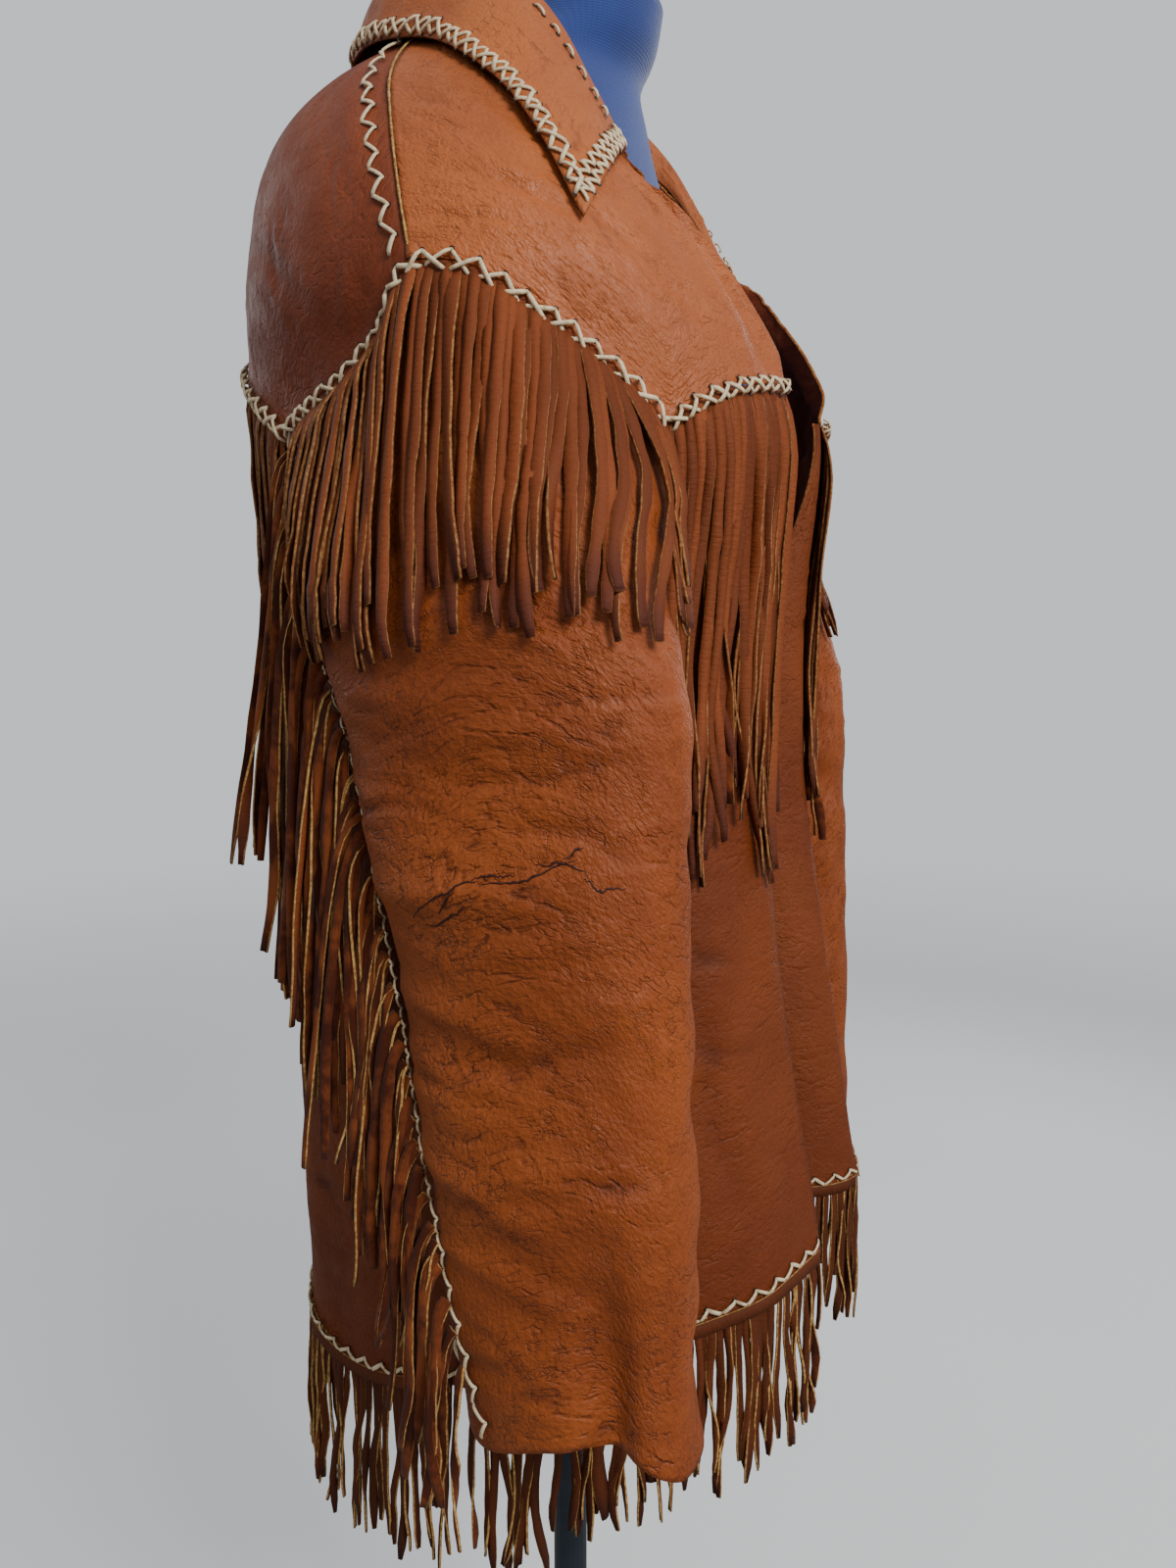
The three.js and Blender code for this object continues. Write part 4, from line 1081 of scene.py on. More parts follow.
def sleeve_relief(side):
    def relief(u, v, place):
        y, z = place[:, 1], place[:, 2]
        middle = (curve(SLEEVE, "z", "front", z) + curve(SLEEVE, "z", "back", z)) / 2
        outer = ease((side * place[:, 0] - curve(SLEEVE, "z", "x", z)) / 18 + 0.5)
        sway = ripple(y, z, 60, 11) * 3
        flip = 0 if side < 0 else 1
        rows = {k: values.copy() for k, values in SLEEVE_CREASES.items()}
        rows["z0"] += 17 * flip
        rows["z1"] += 11 * flip
        out, dip_shade = creases(rows, y + sway, z + sway * 0.6)
        small, small_dip_shade = small_creases(21 + flip, y, z, 240, (14, 60), 4, (-175, 90, 580, 1110))
        inner = 1.8 * ripple(y, z, 46, 31 + flip) + 0.6 * ripple(y * 2.2, z, 26, 33 + flip)
        body = outer * (out + small) + (1 - outer) * inner + 1.3 * ripple(y * 0.6, z, 80, 41 + flip)
        begin = ease(v / 0.08)
        over = puckers(u * 460, v * 600, height=1.0) * (v < 0.05)
        edge = 1.2 * bump(y - middle + 100, 8) * ease((1040 - z) / 120)
        # the second result is painted shade along the sunken creases
        return body * begin + over + edge, np.clip(outer * (0.12 * dip_shade + 0.4 * small_dip_shade), 0, 1)

    return relief


def yoke_lift(seam_at, along_of):
    """A yoke's lower edge lies over the piece below it and swells between the stitches."""

    def lift(u, v, place):
        off = place[:, 2] - seam_at(u)
        return 1.7 * bump(off, 9) + puckers(along_of(u), off, height=0.8)

    return lift


def front_lift(side):
    def lift(u, v, place):
        """The cut edge swells a little; the left front also flares at its fold towards the hem."""
        from_edge = u * (190 if side < 0 else 235)
        flare = 9 * bump(from_edge - 58, 45) * ease((930 - place[:, 2]) / 260) * (side > 0)
        return flare + 1.2 * bump(from_edge, 5)

    return lift


def yoke_front_lift(side):
    base = yoke_lift(lambda u: yoke_height(mix(FRONT_TOP_PHI, SIDE, u)), lambda u: u * 300)

    def lift(u, v, place):
        """The free edge rolls outwards over a bright ridge from the collar to the yoke seam."""
        from_edge = u * 260
        roll = (4.5 if side < 0 else 9) * bump(from_edge, 8 if side < 0 else 13)
        roll = roll - 1.5 * bump(from_edge - 20, 9) + 2.6 * bump(from_edge - 42, 14)
        shoulder = 1.4 * bump((1 - u) * 240, 8)
        return base(u, v, place) + roll * ease(v / 0.15) * ease((1 - v) / 0.25) + shoulder

    return lift


# ---- the panels ---------------------------------------------------------------------------------------
def body_axis(place):
    """The body's axis at each place, which a body panel faces away from."""
    return place * [0, 0, 1] + [0, 20, 0]


def shoulder_inside(place):
    """A point within the shoulders, which a yoke faces away from."""
    return np.stack([0 * place[:, 0], 0 * place[:, 0] + 30, np.minimum(place[:, 2], 1240)], -1)


def sleeve_inside(side):
    def inside(place):
        z = place[:, 2]
        middle = (curve(SLEEVE, "z", "front", z) + curve(SLEEVE, "z", "back", z)) / 2
        return np.stack([side * curve(SLEEVE, "z", "x", z), middle, z - 30], -1)

    return inside


def collar_inside(place):
    """A collar's outer side faces down and away from a point inside its fold."""
    return np.stack([0 * place[:, 0], 0 * place[:, 0] + 20, 0 * place[:, 0] + 1150], -1)


# the body hide, with its painted shade
SHADED_BODY_SKINS = (SHADED_BODY_GRAIN, FLESH, HIDE_EDGE)
reliefs = {
    "back": relief_of(BACK_CREASES, 140, 130, (18, 70), 15, (315, 945, 540, 1180)),
    "yoke_back": relief_of(
        YOKE_BACK_CREASES,
        150,
        110,
        (14, 50),
        60,
        (315, 945, 1130, 1400),
        1.2,
        yoke_lift(lambda u: yoke_height(BACK - np.abs(mix(-SIDE, SIDE, u))), lambda u: u * 760),
    ),
}
pieces = {}
for side, word in ((-1, "right"), (1, "left")):
    seed = 100 + 10 * side
    round_front = (60, 315) if side < 0 else (945, 1200)
    reliefs[f"front_{word}"] = relief_of(
        FRONT_CREASES, seed, 60, (16, 60), 20, (*round_front, 560, 1150), lift=front_lift(side)
    )
    reliefs[f"yoke_front_{word}"] = relief_of(
        YOKE_FRONT_CREASES, seed + 3, 80, (12, 44), 40, (*round_front, 1130, 1380), 1.0, yoke_front_lift(side)
    )
    reliefs[f"sleeve_{word}"] = sleeve_relief(side)
    pieces[f"front_{word}"] = panel(
        f"front_{word}_hide",
        front_surface(side) if side < 0 else turned_in(front_surface(side)),
        (46, 140) if side < 0 else (58, 140),
        (200, 590) if side < 0 else (246, 590),
        reliefs[f"front_{word}"],
        body_axis,
        SHADED_BODY_SKINS,
        [f"front_{word}"],
    )
    pieces[f"yoke_front_{word}"] = panel(
        f"yoke_front_{word}_hide",
        front_yoke_surface(side),
        (76, 76),
        (260, 210),
        reliefs[f"yoke_front_{word}"],
        shoulder_inside,
        (YOKE_GRAIN, FLESH, HIDE_EDGE),
        [f"yoke_front_{word}"],
    )
    pieces[f"sleeve_{word}"] = panel(
        f"sleeve_{word}_hide",
        lambda u, v, side=side: sleeve_surface(side)(u, np.clip(v, 0, 1) ** 1.1),
        (140, 180),
        (460, 620),
        reliefs[f"sleeve_{word}"],
        sleeve_inside(side),
        (SLEEVE_GRAIN, FLESH, HIDE_EDGE),
        [f"sleeve_{word}"],
        closed=True,
    )
pieces["back"] = panel(
    "back_hide",
    back_surface,
    (140, 150),
    (620, 640),
    reliefs["back"],
    body_axis,
    SHADED_BODY_SKINS,
    ["back"],
)
pieces["yoke_back"] = panel(
    "yoke_back_hide",
    back_yoke_surface,
    (190, 70),
    (700, 240),
    reliefs["yoke_back"],
    shoulder_inside,
    (SHADED_BLADE_GRAIN, FLESH, HIDE_EDGE),
    ["yoke_back"],
)


def collar_relief(u, v, place):
    along = u * 760
    rim = 1.6 * bump((1 - v) * 100 - 6, 5)
    soft = 1.0 * ripple(along, v * 110, 70, 77) * ease(v / 0.3)
    small, dip_shade = small_creases(78, along, v * 110, 60, (10, 40), 70, (0, 760, 0, 110))
    # the second result is painted shade along the sunken creases
    return rim + soft + 0.5 * small * ease((v - 0.35) / 0.2), np.clip(0.3 * dip_shade, 0, 1) * (v > 0.35)


pieces["collar"] = panel(
    "collar_hide",
    collar_surface,
    (230, 44),
    (760, 130),
    collar_relief,
    collar_inside,
    (COLLAR_GRAIN, FLESH, HIDE_EDGE),
    ["collar"],
)


# ---- seams as lines with their normals -----------------------------------------------------------------
def on_body(side, phi, z, lift=0.0):
    normal = body_normal(side, phi, z)
    return body_point(side, phi, z) + normal * lift, normal


def yoke_seam(side, path, lift):
    """The seam below a yoke, along a path that gives the place round the body."""

    def seam(t):
        phi = path(t)
        return on_body(side, phi, yoke_height(phi) - 0.8, lift)

    return seam


def cap_seam(side, lift):
    def seam(t):
        phi = np.where(t < 0.5, CAP_FRONT(2 * t), CAP_BACK(2 * t - 1))
        return on_body(side, phi, yoke_height(phi) - 0.8, lift)

    return seam


CHEST_PATH = seam_path(yoke_height, FRONT_CORNER, FRONT_TOP_PHI + 0.6)
BLADE_PATH = seam_path(yoke_height, BACK_CORNER, BACK)
ARM_SEAM_TOP = 0.585  # places round the sleeve at the seam's top and bottom
ARM_SEAM_BOTTOM = 0.474


def back_seam(lift):
    def seam(t):
        phi = BLADE_PATH(1 - np.abs(2 * t - 1))
        return on_body(np.where(t < 0.5, -1, 1), phi, yoke_height(phi) - 0.8, lift)

    return seam


def sleeve_line(side, lift):
    """The laced seam down the back of the sleeve, from the yoke to the cuff."""
    surface = sleeve_surface(side)

    def seam(t):
        u = mix(ARM_SEAM_TOP, ARM_SEAM_BOTTOM, t) - 0.068 * np.clip((t - 0.7) / 0.3, 0, 1) ** 1.5
        v = mix(0.03, 0.985, t)
        point = surface(u, v)
        normal = normal_of(surface, u, v, sleeve_inside(side)(point), (0.004, 0.004))
        return point + normal * lift, normal

    return seam


def hem_line(side, start, stop, above, lift):
    def seam(t):
        phi = mix(start, stop, t)
        z = hem_height(phi) + above
        normal = body_normal(side, phi, z)
        return body_point(side, phi, z) + normal * lift, normal

    return seam


def collar_line(v, lift, start=0.0, stop=1.0):
    def seam(t):
        u = mix(start, stop, t)
        point = collar_surface(u, v + 0 * u)
        normal = normal_of(collar_surface, u, v + 0 * u, collar_inside(point), (0.003, 0.01))
        return point + normal * lift, normal

    return seam


def collar_end(side, inset, lift):
    """A line up the collar's front end, inset by a share of the way round."""

    def seam(t):
        u = (inset if side < 0 else 1 - inset) + 0 * t
        v = mix(0.36, 0.97, t)
        point = collar_surface(u, v)
        normal = normal_of(collar_surface, u, v, collar_inside(point), (0.003, 0.01))
        return point + normal * lift, normal

    return seam


# ---- laces ------------------------------------------------------------------------------------------------
LACE_WIDTH = 1.9


def lace_run(start, stop, facing, dice, lift, dive):
    """One visible stitch: it rises from a hole, lies over the seam and goes down the next hole."""
    s = np.linspace(0, 1, 7)[:, None]
    rise = lift * np.sin(np.pi * s) ** 0.6 - dive * (np.abs(2 * s - 1) ** 7)
    middle = mix(start, stop, s) + facing * rise
    width = LACE_WIDTH * dice.uniform(0.8, 1.15) * np.array([0.7, 1, 1.05, 1.05, 1.05, 1, 0.7])
    turned = np.repeat(facing[None, :], 7, axis=0)
    return {"middle": middle, "facing": turned, "width": width, "cup": -0.4, "shade": 0.0}


def lace_row(seam, pitch, reach, style, seed, lift=0.8, dive=0.9):
    """Stitches along a seam. reach is how far the holes lie to each side of it."""
    fine, _ = seam(np.linspace(0, 1, 200))
    length = np.sum(np.linalg.norm(np.diff(fine, axis=0), axis=1))
    count = max(2, round(length / pitch))
    dice = random.Random(seed)
    shares = [k + dice.uniform(-0.14, 0.14) for k in range(count + 1)]
    t = np.clip(np.array(shares) / count, 0, 1)
    point, normal = seam(t)
    along = unit(np.gradient(point, axis=0))
    across = unit(np.cross(normal, along))
    side_a = point + across * reach * np.array([[dice.uniform(0.8, 1.25)] for _ in t])
    side_b = point - across * reach * np.array([[dice.uniform(0.8, 1.25)] for _ in t])
    runs, holes = [], []
    for k in range(count):
        facing = unit(normal[k] + normal[k + 1])
        first, second = (side_a, side_b) if k % 2 else (side_b, side_a)
        if style == "running":
            if k % 2 == 0:
                runs.append(lace_run(point[k], point[k + 1], facing, dice, lift, dive))
                holes += [(point[k], normal[k]), (point[k + 1], normal[k + 1])]
            continue
        runs.append(lace_run(first[k], second[k + 1], facing, dice, lift, dive))
        holes.append((first[k], normal[k]))
        if style == "cross":
            runs.append(lace_run(second[k], first[k + 1], facing, dice, lift + 1.0, dive))
            holes.append((second[k], normal[k]))
    return runs, [(point - normal * 0.85 * dive, normal) for point, normal in holes]


def hole_shade_discs(name, holes):
    """Painted shade in the mouths of the lace holes, as dark shallow discs."""
    bm = bmesh.new()
    for point, normal in holes:
        made = bmesh.ops.create_circle(bm, cap_ends=True, segments=8, radius=1.7 * MM)["verts"]
        turn = Vector(normal).to_track_quat("Z", "Y").to_matrix().to_4x4()
        bmesh.ops.transform(bm, matrix=turn, verts=made)
        bmesh.ops.translate(bm, vec=Vector(point) * MM, verts=made)
    mesh = bpy.data.meshes.new(name)
    bm.to_mesh(mesh)
    bm.free()
    mesh.materials.append(HOLE_SHADE)
    return finish_piece(bpy.data.objects.new(name, mesh))


# ---- strands of fringe ------------------------------------------------------------------------------------
FRINGE_STRIP = 8
FRINGE_CLEAR = 3.4


def strand(line, facing, width, dice, sway, twist, layer, cup=0.22, turned=0.0, taper=0.3):
    """One strand on its middle line: it sways, twists and curls more towards its tip."""
    count = len(line)
    s = np.linspace(0, 1, count)
    along = unit(np.gradient(line, axis=0))
    sideways = unit(np.cross(facing, along))
    beat = dice.uniform(1.0, 2.4)
    phase = dice.uniform(0, math.tau)
    aside = sway * (np.sin(s * beat * math.pi + phase) - math.sin(phase)) * s**0.9
    outward = layer * ease(s / 0.12) + 0.5 * sway * np.sin(s * beat * 4 + phase) ** 2 * s
    middle = line + sideways * aside[:, None] + facing * outward[:, None]
    angle = np.radians(turned + twist * (s**1.4) + 0.35 * twist * np.sin(s * 7 + phase))[:, None]
    angle = angle * ease(s / 0.15)[:, None]
    facing = facing * np.cos(angle) + sideways * np.sin(angle)
    shrink = 1 - taper * ease((s - 0.9) / 0.1)
    wobble = 1 + 0.1 * np.sin(s * 23 + phase) + 0.07 * np.sin(s * 41 + 2 * phase)
    return {
        "middle": middle,
        "facing": facing,
        "width": width * shrink * wobble,
        "cup": dice.choice((-1, 1)) * cup,
        "shade": dice.random(),
    }


def band(seam, width, drop, count=120):
    """The uncut strip that a row of strands hangs from."""
    point, normal = seam(np.linspace(0, 1, count))
    middle = point - np.array([0, 0, drop])
    flat = np.full(count, float(width))
    return {"middle": middle, "facing": normal, "width": flat, "cup": 0.0, "shade": 0.4}


def sleeve_share(surface, y, z):
    """The share of the way round at which the sleeve's outer side reaches the place y at a height."""
    low = np.full(np.shape(y), 0.02)
    high = np.full(np.shape(y), OUTER_SHARE - 0.02)
    for _ in range(18):
        middle = (low + high) / 2
        top = surface(middle, 0 * middle)[..., 2]
        at = surface(middle, np.clip((top - z) / (top - CUFF), 0, 1))[..., 1]
        low, high = np.where(at < y, middle, low), np.where(at < y, high, middle)
    return low


def stand_out(hide, u, v, place):
    """How far a hide's creases stand out of its surface, for what hangs over them."""
    shape = place.shape[:-1]
    flat = [np.broadcast_to(x, shape).ravel() for x in (u, v)]
    out, _ = reliefs[hide](*flat, place.reshape(-1, 3))
    return np.maximum(out.reshape(shape), 0)


def softened(rows, passes):
    """Each row with its steps evened out, but for its first value."""
    for _ in range(passes):
        after = np.concatenate([rows[:, 2:], rows[:, -1:]], 1)
        rows = np.concatenate([rows[:, :1], (rows[:, :-1] + 2 * rows[:, 1:] + after) / 4], 1)
    return rows


def cap_fringe(side, word, dice):
    """Strands that hang down the sleeve's outer side from the seam below the yoke."""
    surface = sleeve_surface(side)
    strands, steps = 66, 24
    root_u = (np.arange(strands) + 0.5) / strands
    rest = np.where(
        root_u < 0.5,
        mix(78, 200, np.sqrt(np.minimum(1, 2 * root_u))),
        mix(200, 130, 2 * root_u - 1),
    )
    length = rest * np.array([dice.uniform(0.84, 1.02) for _ in root_u])
    u = np.repeat(root_u[:, None], steps, 1)
    drop = 3 + length[:, None] * np.linspace(0, 1, steps) ** 0.9
    start = u * 0.97 * OUTER_SHARE
    root = surface(start, 0 * start)
    z = root[..., 2] - drop
    plumb = mix(1.0, 0.42, u**1.5) * np.minimum(1, drop / 30)
    aim = root[..., 1]
    for _ in range(2):  # over the sleeve's front a strand slides forward as it slides outward
        share = softened(mix(start, sleeve_share(surface, aim, z), plumb), 16)
        top = surface(share, 0 * share)[..., 2]
        v = np.clip((top - z) / (top - CUFF), 0, 1)
        on = surface(share, v)
        aim = root[..., 1] - mix(0.55, 0.0, np.minimum(1, 1.6 * u)) * np.abs(on[..., 0] - root[..., 0])
    inside = np.stack([0 * z + side * 225, 0 * z - 20, on[..., 2] - 40], -1)
    ahead = softened(np.minimum(0, aim - on[..., 1]), 8)  # the sleeve's front has gone back behind the strand
    facing = normal_of(surface, share, v, inside, (0.004, 0.004))
    clear = FRINGE_CLEAR - 2.0 * bump(drop, FRINGE_STRIP) + 1.5 * bump(drop - 45, 45)
    clear = clear + stand_out(f"sleeve_{word}", share, v, on)
    line = on + facing * clear[..., None]
    line[..., 1] += np.maximum(-26, 0.9 * ahead)
    runs = []
    for k in range(strands):
        layer = (0.2, 2.6, 1.2, 3.8, 0.6)[k % 5] * dice.uniform(0.6, 1.1)
        runs.append(
            strand(
                line[k],
                facing[k],
                dice.uniform(5.4, 6.8),
                dice,
                sway=dice.uniform(0.8, 4.2),
                twist=dice.gauss(0, 16) + (75 if dice.random() < 0.1 else 0),
                layer=layer,
                turned=side * 15,
            )
        )
    runs.append(band(cap_seam(side, 2.6), 9, 4.5))
    return runs


def body_fringe(side_of, phi_of, lengths, dice, steps, sway, wild, width, hide_of):
    """Strands that hang from a seam on the body; phi_of and side_of take the share along it."""
    runs = []
    count = len(lengths)
    for k in range(count):
        t = (k + 0.5) / count
        phi, side = float(phi_of(t)), float(side_of(t))
        drop = 2 + lengths[k] * np.linspace(0, 1, steps) ** 0.92
        z = float(yoke_height(phi)) - drop
        places = np.full(steps, phi)
        facing = body_normal(side, places, z)
        on = body_point(side, places, z)
        clear = FRINGE_CLEAR - 2.0 * bump(drop, FRINGE_STRIP) + stand_out(*hide_of(side, phi, z), on)
        line = on + facing * clear[:, None]
        twist = dice.gauss(0, 18) + (dice.choice((-1, 1)) * 120 if dice.random() < wild else 0)
        runs.append(
            strand(
                line,
                facing,
                width * dice.uniform(0.85, 1.1),
                dice,
                sway=dice.uniform(0.6, 1.0) * sway,
                twist=twist,
                layer=(0.3, 2.8, 1.3, 4.0)[k % 4] * dice.uniform(0.6, 1.2),
                turned=side * 12,
            )
        )
    return runs


def front_share(side, phi, z):
    """The share of the way round a front hide at a place on the body."""
    share = (phi - edge_phi(z)) / (SIDE - edge_phi(z))
    return (share + TURN_IN["share"]) / (1 + TURN_IN["share"]) if side > 0 else share


def front_hem(side, word, start, above, lift):
    """A line above a front's hem, on the hide where it flares out."""
    base = hem_line(side, start, SIDE - 0.5, above, lift)

    def seam(t):
        point, normal = base(t)
        share = front_share(side, mix(start, SIDE - 0.5, t), point[..., 2])
        out = stand_out(f"front_{word}", share, 0 * t + 0.02, point)
        return point + normal * out[..., None], normal

    return seam


def chest_fringe(side, word, dice):
    """Strands that hang over a front from its seam with the yoke."""
    count = 32
    lengths = []
    for k in range(count):
        u = (k + 0.5) / count
        lengths.append(mix(280, 308, u) * (1 - 0.18 * bump(u - 0.55, 0.2)) * dice.uniform(0.84, 1.03))
    path = seam_path(yoke_height, FRONT_CORNER - 1, FRONT_TOP_PHI + 1)

    def on_front(side, phi, z):
        return f"front_{word}", front_share(side, phi, z), 0.5

    runs = body_fringe(lambda t: side, path, lengths, dice, 28, 7.5, 0.55, 6.2, on_front)
    runs.append(band(yoke_seam(side, CHEST_PATH, 2.6), 9, 4.5, 60))
    return runs


def back_fringe(dice):
    """Strands that hang over the back from its seam with the yoke."""
    count = 86
    lengths = []
    for k in range(count):
        u = (k + 0.5) / count
        lengths.append(mix(130, 190, 1 - abs(2 * u - 1)) * dice.uniform(0.8, 1.02))
    half = seam_path(yoke_height, BACK_CORNER + 1, BACK)
    runs = body_fringe(
        lambda t: -1 if t < 0.5 else 1,
        lambda t: half(1 - abs(2 * t - 1)),
        lengths,
        dice,
        20,
        3.4,
        0.14,
        6.0,
        lambda side, phi, z: ("back", 0.5, 0.5),
    )
    runs.append(band(back_seam(2.6), 9, 4.5, 160))
    return runs


def arm_fringe(side, dice):
    """Strands that loop out of the sleeve's laced back seam and fall behind it in a tangle."""
    count, steps = 78, 26
    seam = sleeve_line(side, 1.5)
    runs = []
    for k in range(count):
        t = 0.93 * ((k + 0.5 + dice.uniform(-0.9, 0.9)) / count) ** 1.2
        root, normal = (x[0] for x in seam(np.array([t])))
        length = mix(280, 118, t) * dice.uniform(0.74, 1.0)
        s = np.linspace(0, 1, steps)
        run = length * s
        back = dice.uniform(1, 9) * (1 - np.exp(-run / 14)) + run * math.tan(
            math.radians(mix(3.5, 5, t) + dice.gauss(-1.5, 2.8))
        )
        out = dice.uniform(1.5, 8) * (1 - np.exp(-run / 14)) + dice.uniform(-0.01, 0.02) * run
        down = run - 5 * (1 - np.exp(-run / 8))
        line = np.stack([root[0] + side * (out + 2), root[1] + back + 1.5, root[2] - down], -1)
        heading = dice.gauss(0, 30)
        facing = np.tile(
            [side * math.cos(math.radians(heading)), math.sin(math.radians(heading)), 0.0], (steps, 1)
        )
        runs.append(
            strand(
                line,
                facing,
                dice.uniform(4.8, 6.6),
                dice,
                sway=dice.uniform(1.5, 5.5),
                twist=dice.gauss(0, 42) + (dice.choice((-1, 1)) * 140 if dice.random() < 0.16 else 0),
                layer=0.0,
                cup=0.34,
            )
        )
    return runs


HEM_STRAND = 112  # the usual length of a strand below the hem
HEM_WIDTH = (4.2, 5.8)
HEM_WIDTH_WHOLE = (9, 13)  # of a strand that wasn't cut down to one strip
BINDING_WIDTH = 8.0


def hem_fringe(side_of, phi_of, count, dice, hide=None):
    """Strands parted from the hem, curled and uneven, with a few wide ones left whole."""
    runs = []
    steps = 14
    for k in range(count):
        t = (k + 0.5) / count
        phi, side = float(phi_of(t)), float(side_of(t))
        height = float(hem_height(phi))
        facing = body_normal(side, np.full(steps, phi), np.full(steps, height)) * [1, 1, 0]
        facing = unit(facing)
        length = HEM_STRAND * dice.uniform(0.76, 1.02) + 14 * float(bump(phi - SIDE, 30))
        s = np.linspace(0, 1, steps)
        root = body_point(side, phi, height + 6)
        out = stand_out(hide, front_share(side, phi, height), 0.01, root) if hide else 0
        line = root + facing * (out - 1.2) - np.stack([0 * s, 0 * s, (length + 6) * s], -1)
        wide = dice.random() < 0.11
        runs.append(
            strand(
                line,
                facing,
                dice.uniform(*(HEM_WIDTH_WHOLE if wide else HEM_WIDTH)),
                dice,
                sway=dice.uniform(1.5, 7.0),
                twist=dice.gauss(0, 30 if wide else 75),
                layer=dice.uniform(-0.5, 2.5),
                cup=0.3,
                taper=0.5,
            )
        )
    t = np.linspace(0.003, 0.997, 90)
    phi = np.array([float(phi_of(x)) for x in t])
    side = np.array([float(side_of(x)) for x in t])
    binding, normal = on_body(side, phi, hem_height(phi) + 0.5, 0.9)
    if hide:
        share = front_share(side[0], phi, hem_height(phi))
        binding = binding + normal * stand_out(hide, share, 0 * t + 0.01, binding)[:, None]
    width = np.full(len(t), BINDING_WIDTH)
    runs.append({"middle": binding, "facing": normal, "width": width, "cup": 0.0, "shade": 0.1})
    return runs


def turned_binding():
    """The folded binding along the hem of the turned-in strip."""
    t = np.linspace(0, 1, 24)
    line, normal = turned_hem(t)
    middle = line - np.array([0, 0, 7.5])
    width = np.full(len(t), BINDING_WIDTH)
    return {"middle": middle, "facing": normal, "width": width, "cup": 0.0, "shade": 0.1}


def turned_hem(t):
    """A line just above the hem of the left front's turned-in strip."""
    surface = turned_in(front_surface(1))
    u, v = mix(0.012, 0.19, t), 0 * t + 0.012
    point = surface(u, v)
    normal = unit(np.cross(surface(u + 0.01, v) - point, [0, 0, 1.0]))
    out = stand_out("front_left", u, v, point)[..., None]
    return point + normal * (out + 0.9), normal


def folded_edge_fringe(dice):
    """The last strands of the left front's hem, below its turned-in strip."""
    surface = turned_in(front_surface(1))
    runs = []
    count, steps = 9, 14
    for k in range(count):
        u = 0.2 * (k + 0.5) / count
        root = surface(np.array(u), np.array(0.0)) + np.array([0, 0, 5.0])
        beside = surface(np.array(u + 0.01), np.array(0.0)) - surface(np.array(u), np.array(0.0))
        facing = np.tile(unit(np.cross(beside, [0, 0, 1.0])), (steps, 1))
        root = root + facing[0] * stand_out("front_left", u, 0.01, root)
        s = np.linspace(0, 1, steps)
        length = HEM_STRAND * dice.uniform(0.66, 0.97)
        line = root - facing * 1.2 - np.stack([0 * s, 0 * s, (length + 5) * s], -1)
        sway, twist = dice.uniform(1.5, 6.0), dice.gauss(0, 60)
        runs.append(strand(line, facing, dice.uniform(*HEM_WIDTH), dice, sway, twist, 0.5, 0.3, 0.0, 0.5))
    return runs


GRAIN_OUT = (STRAND_GRAIN, STRAND_FLESH, STRAND_EDGE)
# the hem strands, with their painted shade
SHADED_HEM_OUT = (SHADED_HEM_GRAIN, STRAND_FLESH, ARM_EDGE)
FLESH_OUT = (STRAND_FLESH, STRAND_GRAIN, ARM_EDGE)
dice = random.Random(5)
for side, word in ((-1, "right"), (1, "left")):
    for kind, runs, skins in (
        ("cap", cap_fringe(side, word, dice), GRAIN_OUT),
        ("chest", chest_fringe(side, word, dice), GRAIN_OUT),
        ("arm", arm_fringe(side, dice), FLESH_OUT),
    ):
        node = f"fringe_{kind}_{word}"
        pieces[node] = ribbons(f"{node}_strands", runs, 2, skins, [node])
    start = float(edge_phi(HEM["z"][0])) + 1
    runs = hem_fringe(lambda t, side=side: side, lambda t: mix(start, SIDE - 1, t), 50, dice, f"front_{word}")
    if side > 0:
        runs += [*folded_edge_fringe(dice), turned_binding()]
    node = f"fringe_hem_{word}"
    pieces[node] = ribbons(f"{node}_strands", runs, 2, SHADED_HEM_OUT, [node])
pieces["fringe_back_yoke"] = ribbons(
    "fringe_back_yoke_strands", back_fringe(dice), 2, GRAIN_OUT, ["fringe_back_yoke"]
)
pieces["fringe_hem_back"] = ribbons(
    "fringe_hem_back_strands",
    hem_fringe(lambda t: -1 if t < 0.5 else 1, lambda t: BACK - abs(mix(-SIDE + 1, SIDE - 1, t)), 110, dice),
    2,
    SHADED_HEM_OUT,
    ["fringe_hem_back"],
)


# ---- rows of lacing ----------------------------------------------------------------------------------------
def raw_edge(side, word):
    """The pale cut edge of the front yoke, which laps over the back yoke at the shoulder."""
    z = mix(1386, 1196, np.linspace(0, 1, 60))
    middle, facing = on_body(side, SIDE - 0.2 + 0 * z, z, 2.5)
    width = np.array([random.Random(k).uniform(0.9, 1.6) for k in range(60)])
    run = {"middle": middle, "facing": facing, "width": width, "cup": 0.0, "shade": 0.0}
    skins = (ARM_EDGE, ARM_EDGE, ARM_EDGE)
    return ribbons(f"edge_yoke_{word}", [run], 1, skins, thickness=0.9)


def laced(name, rows):
    runs, holes = [], []
    for row in rows:
        more, punched = row
        runs += more
        holes += punched
    made = ribbons(f"lacing_{name}", runs, 2, (LACE, LACE, LACE), thickness=LACE_SKIN)
    return made, hole_shade_discs(f"holes_{name}", holes)


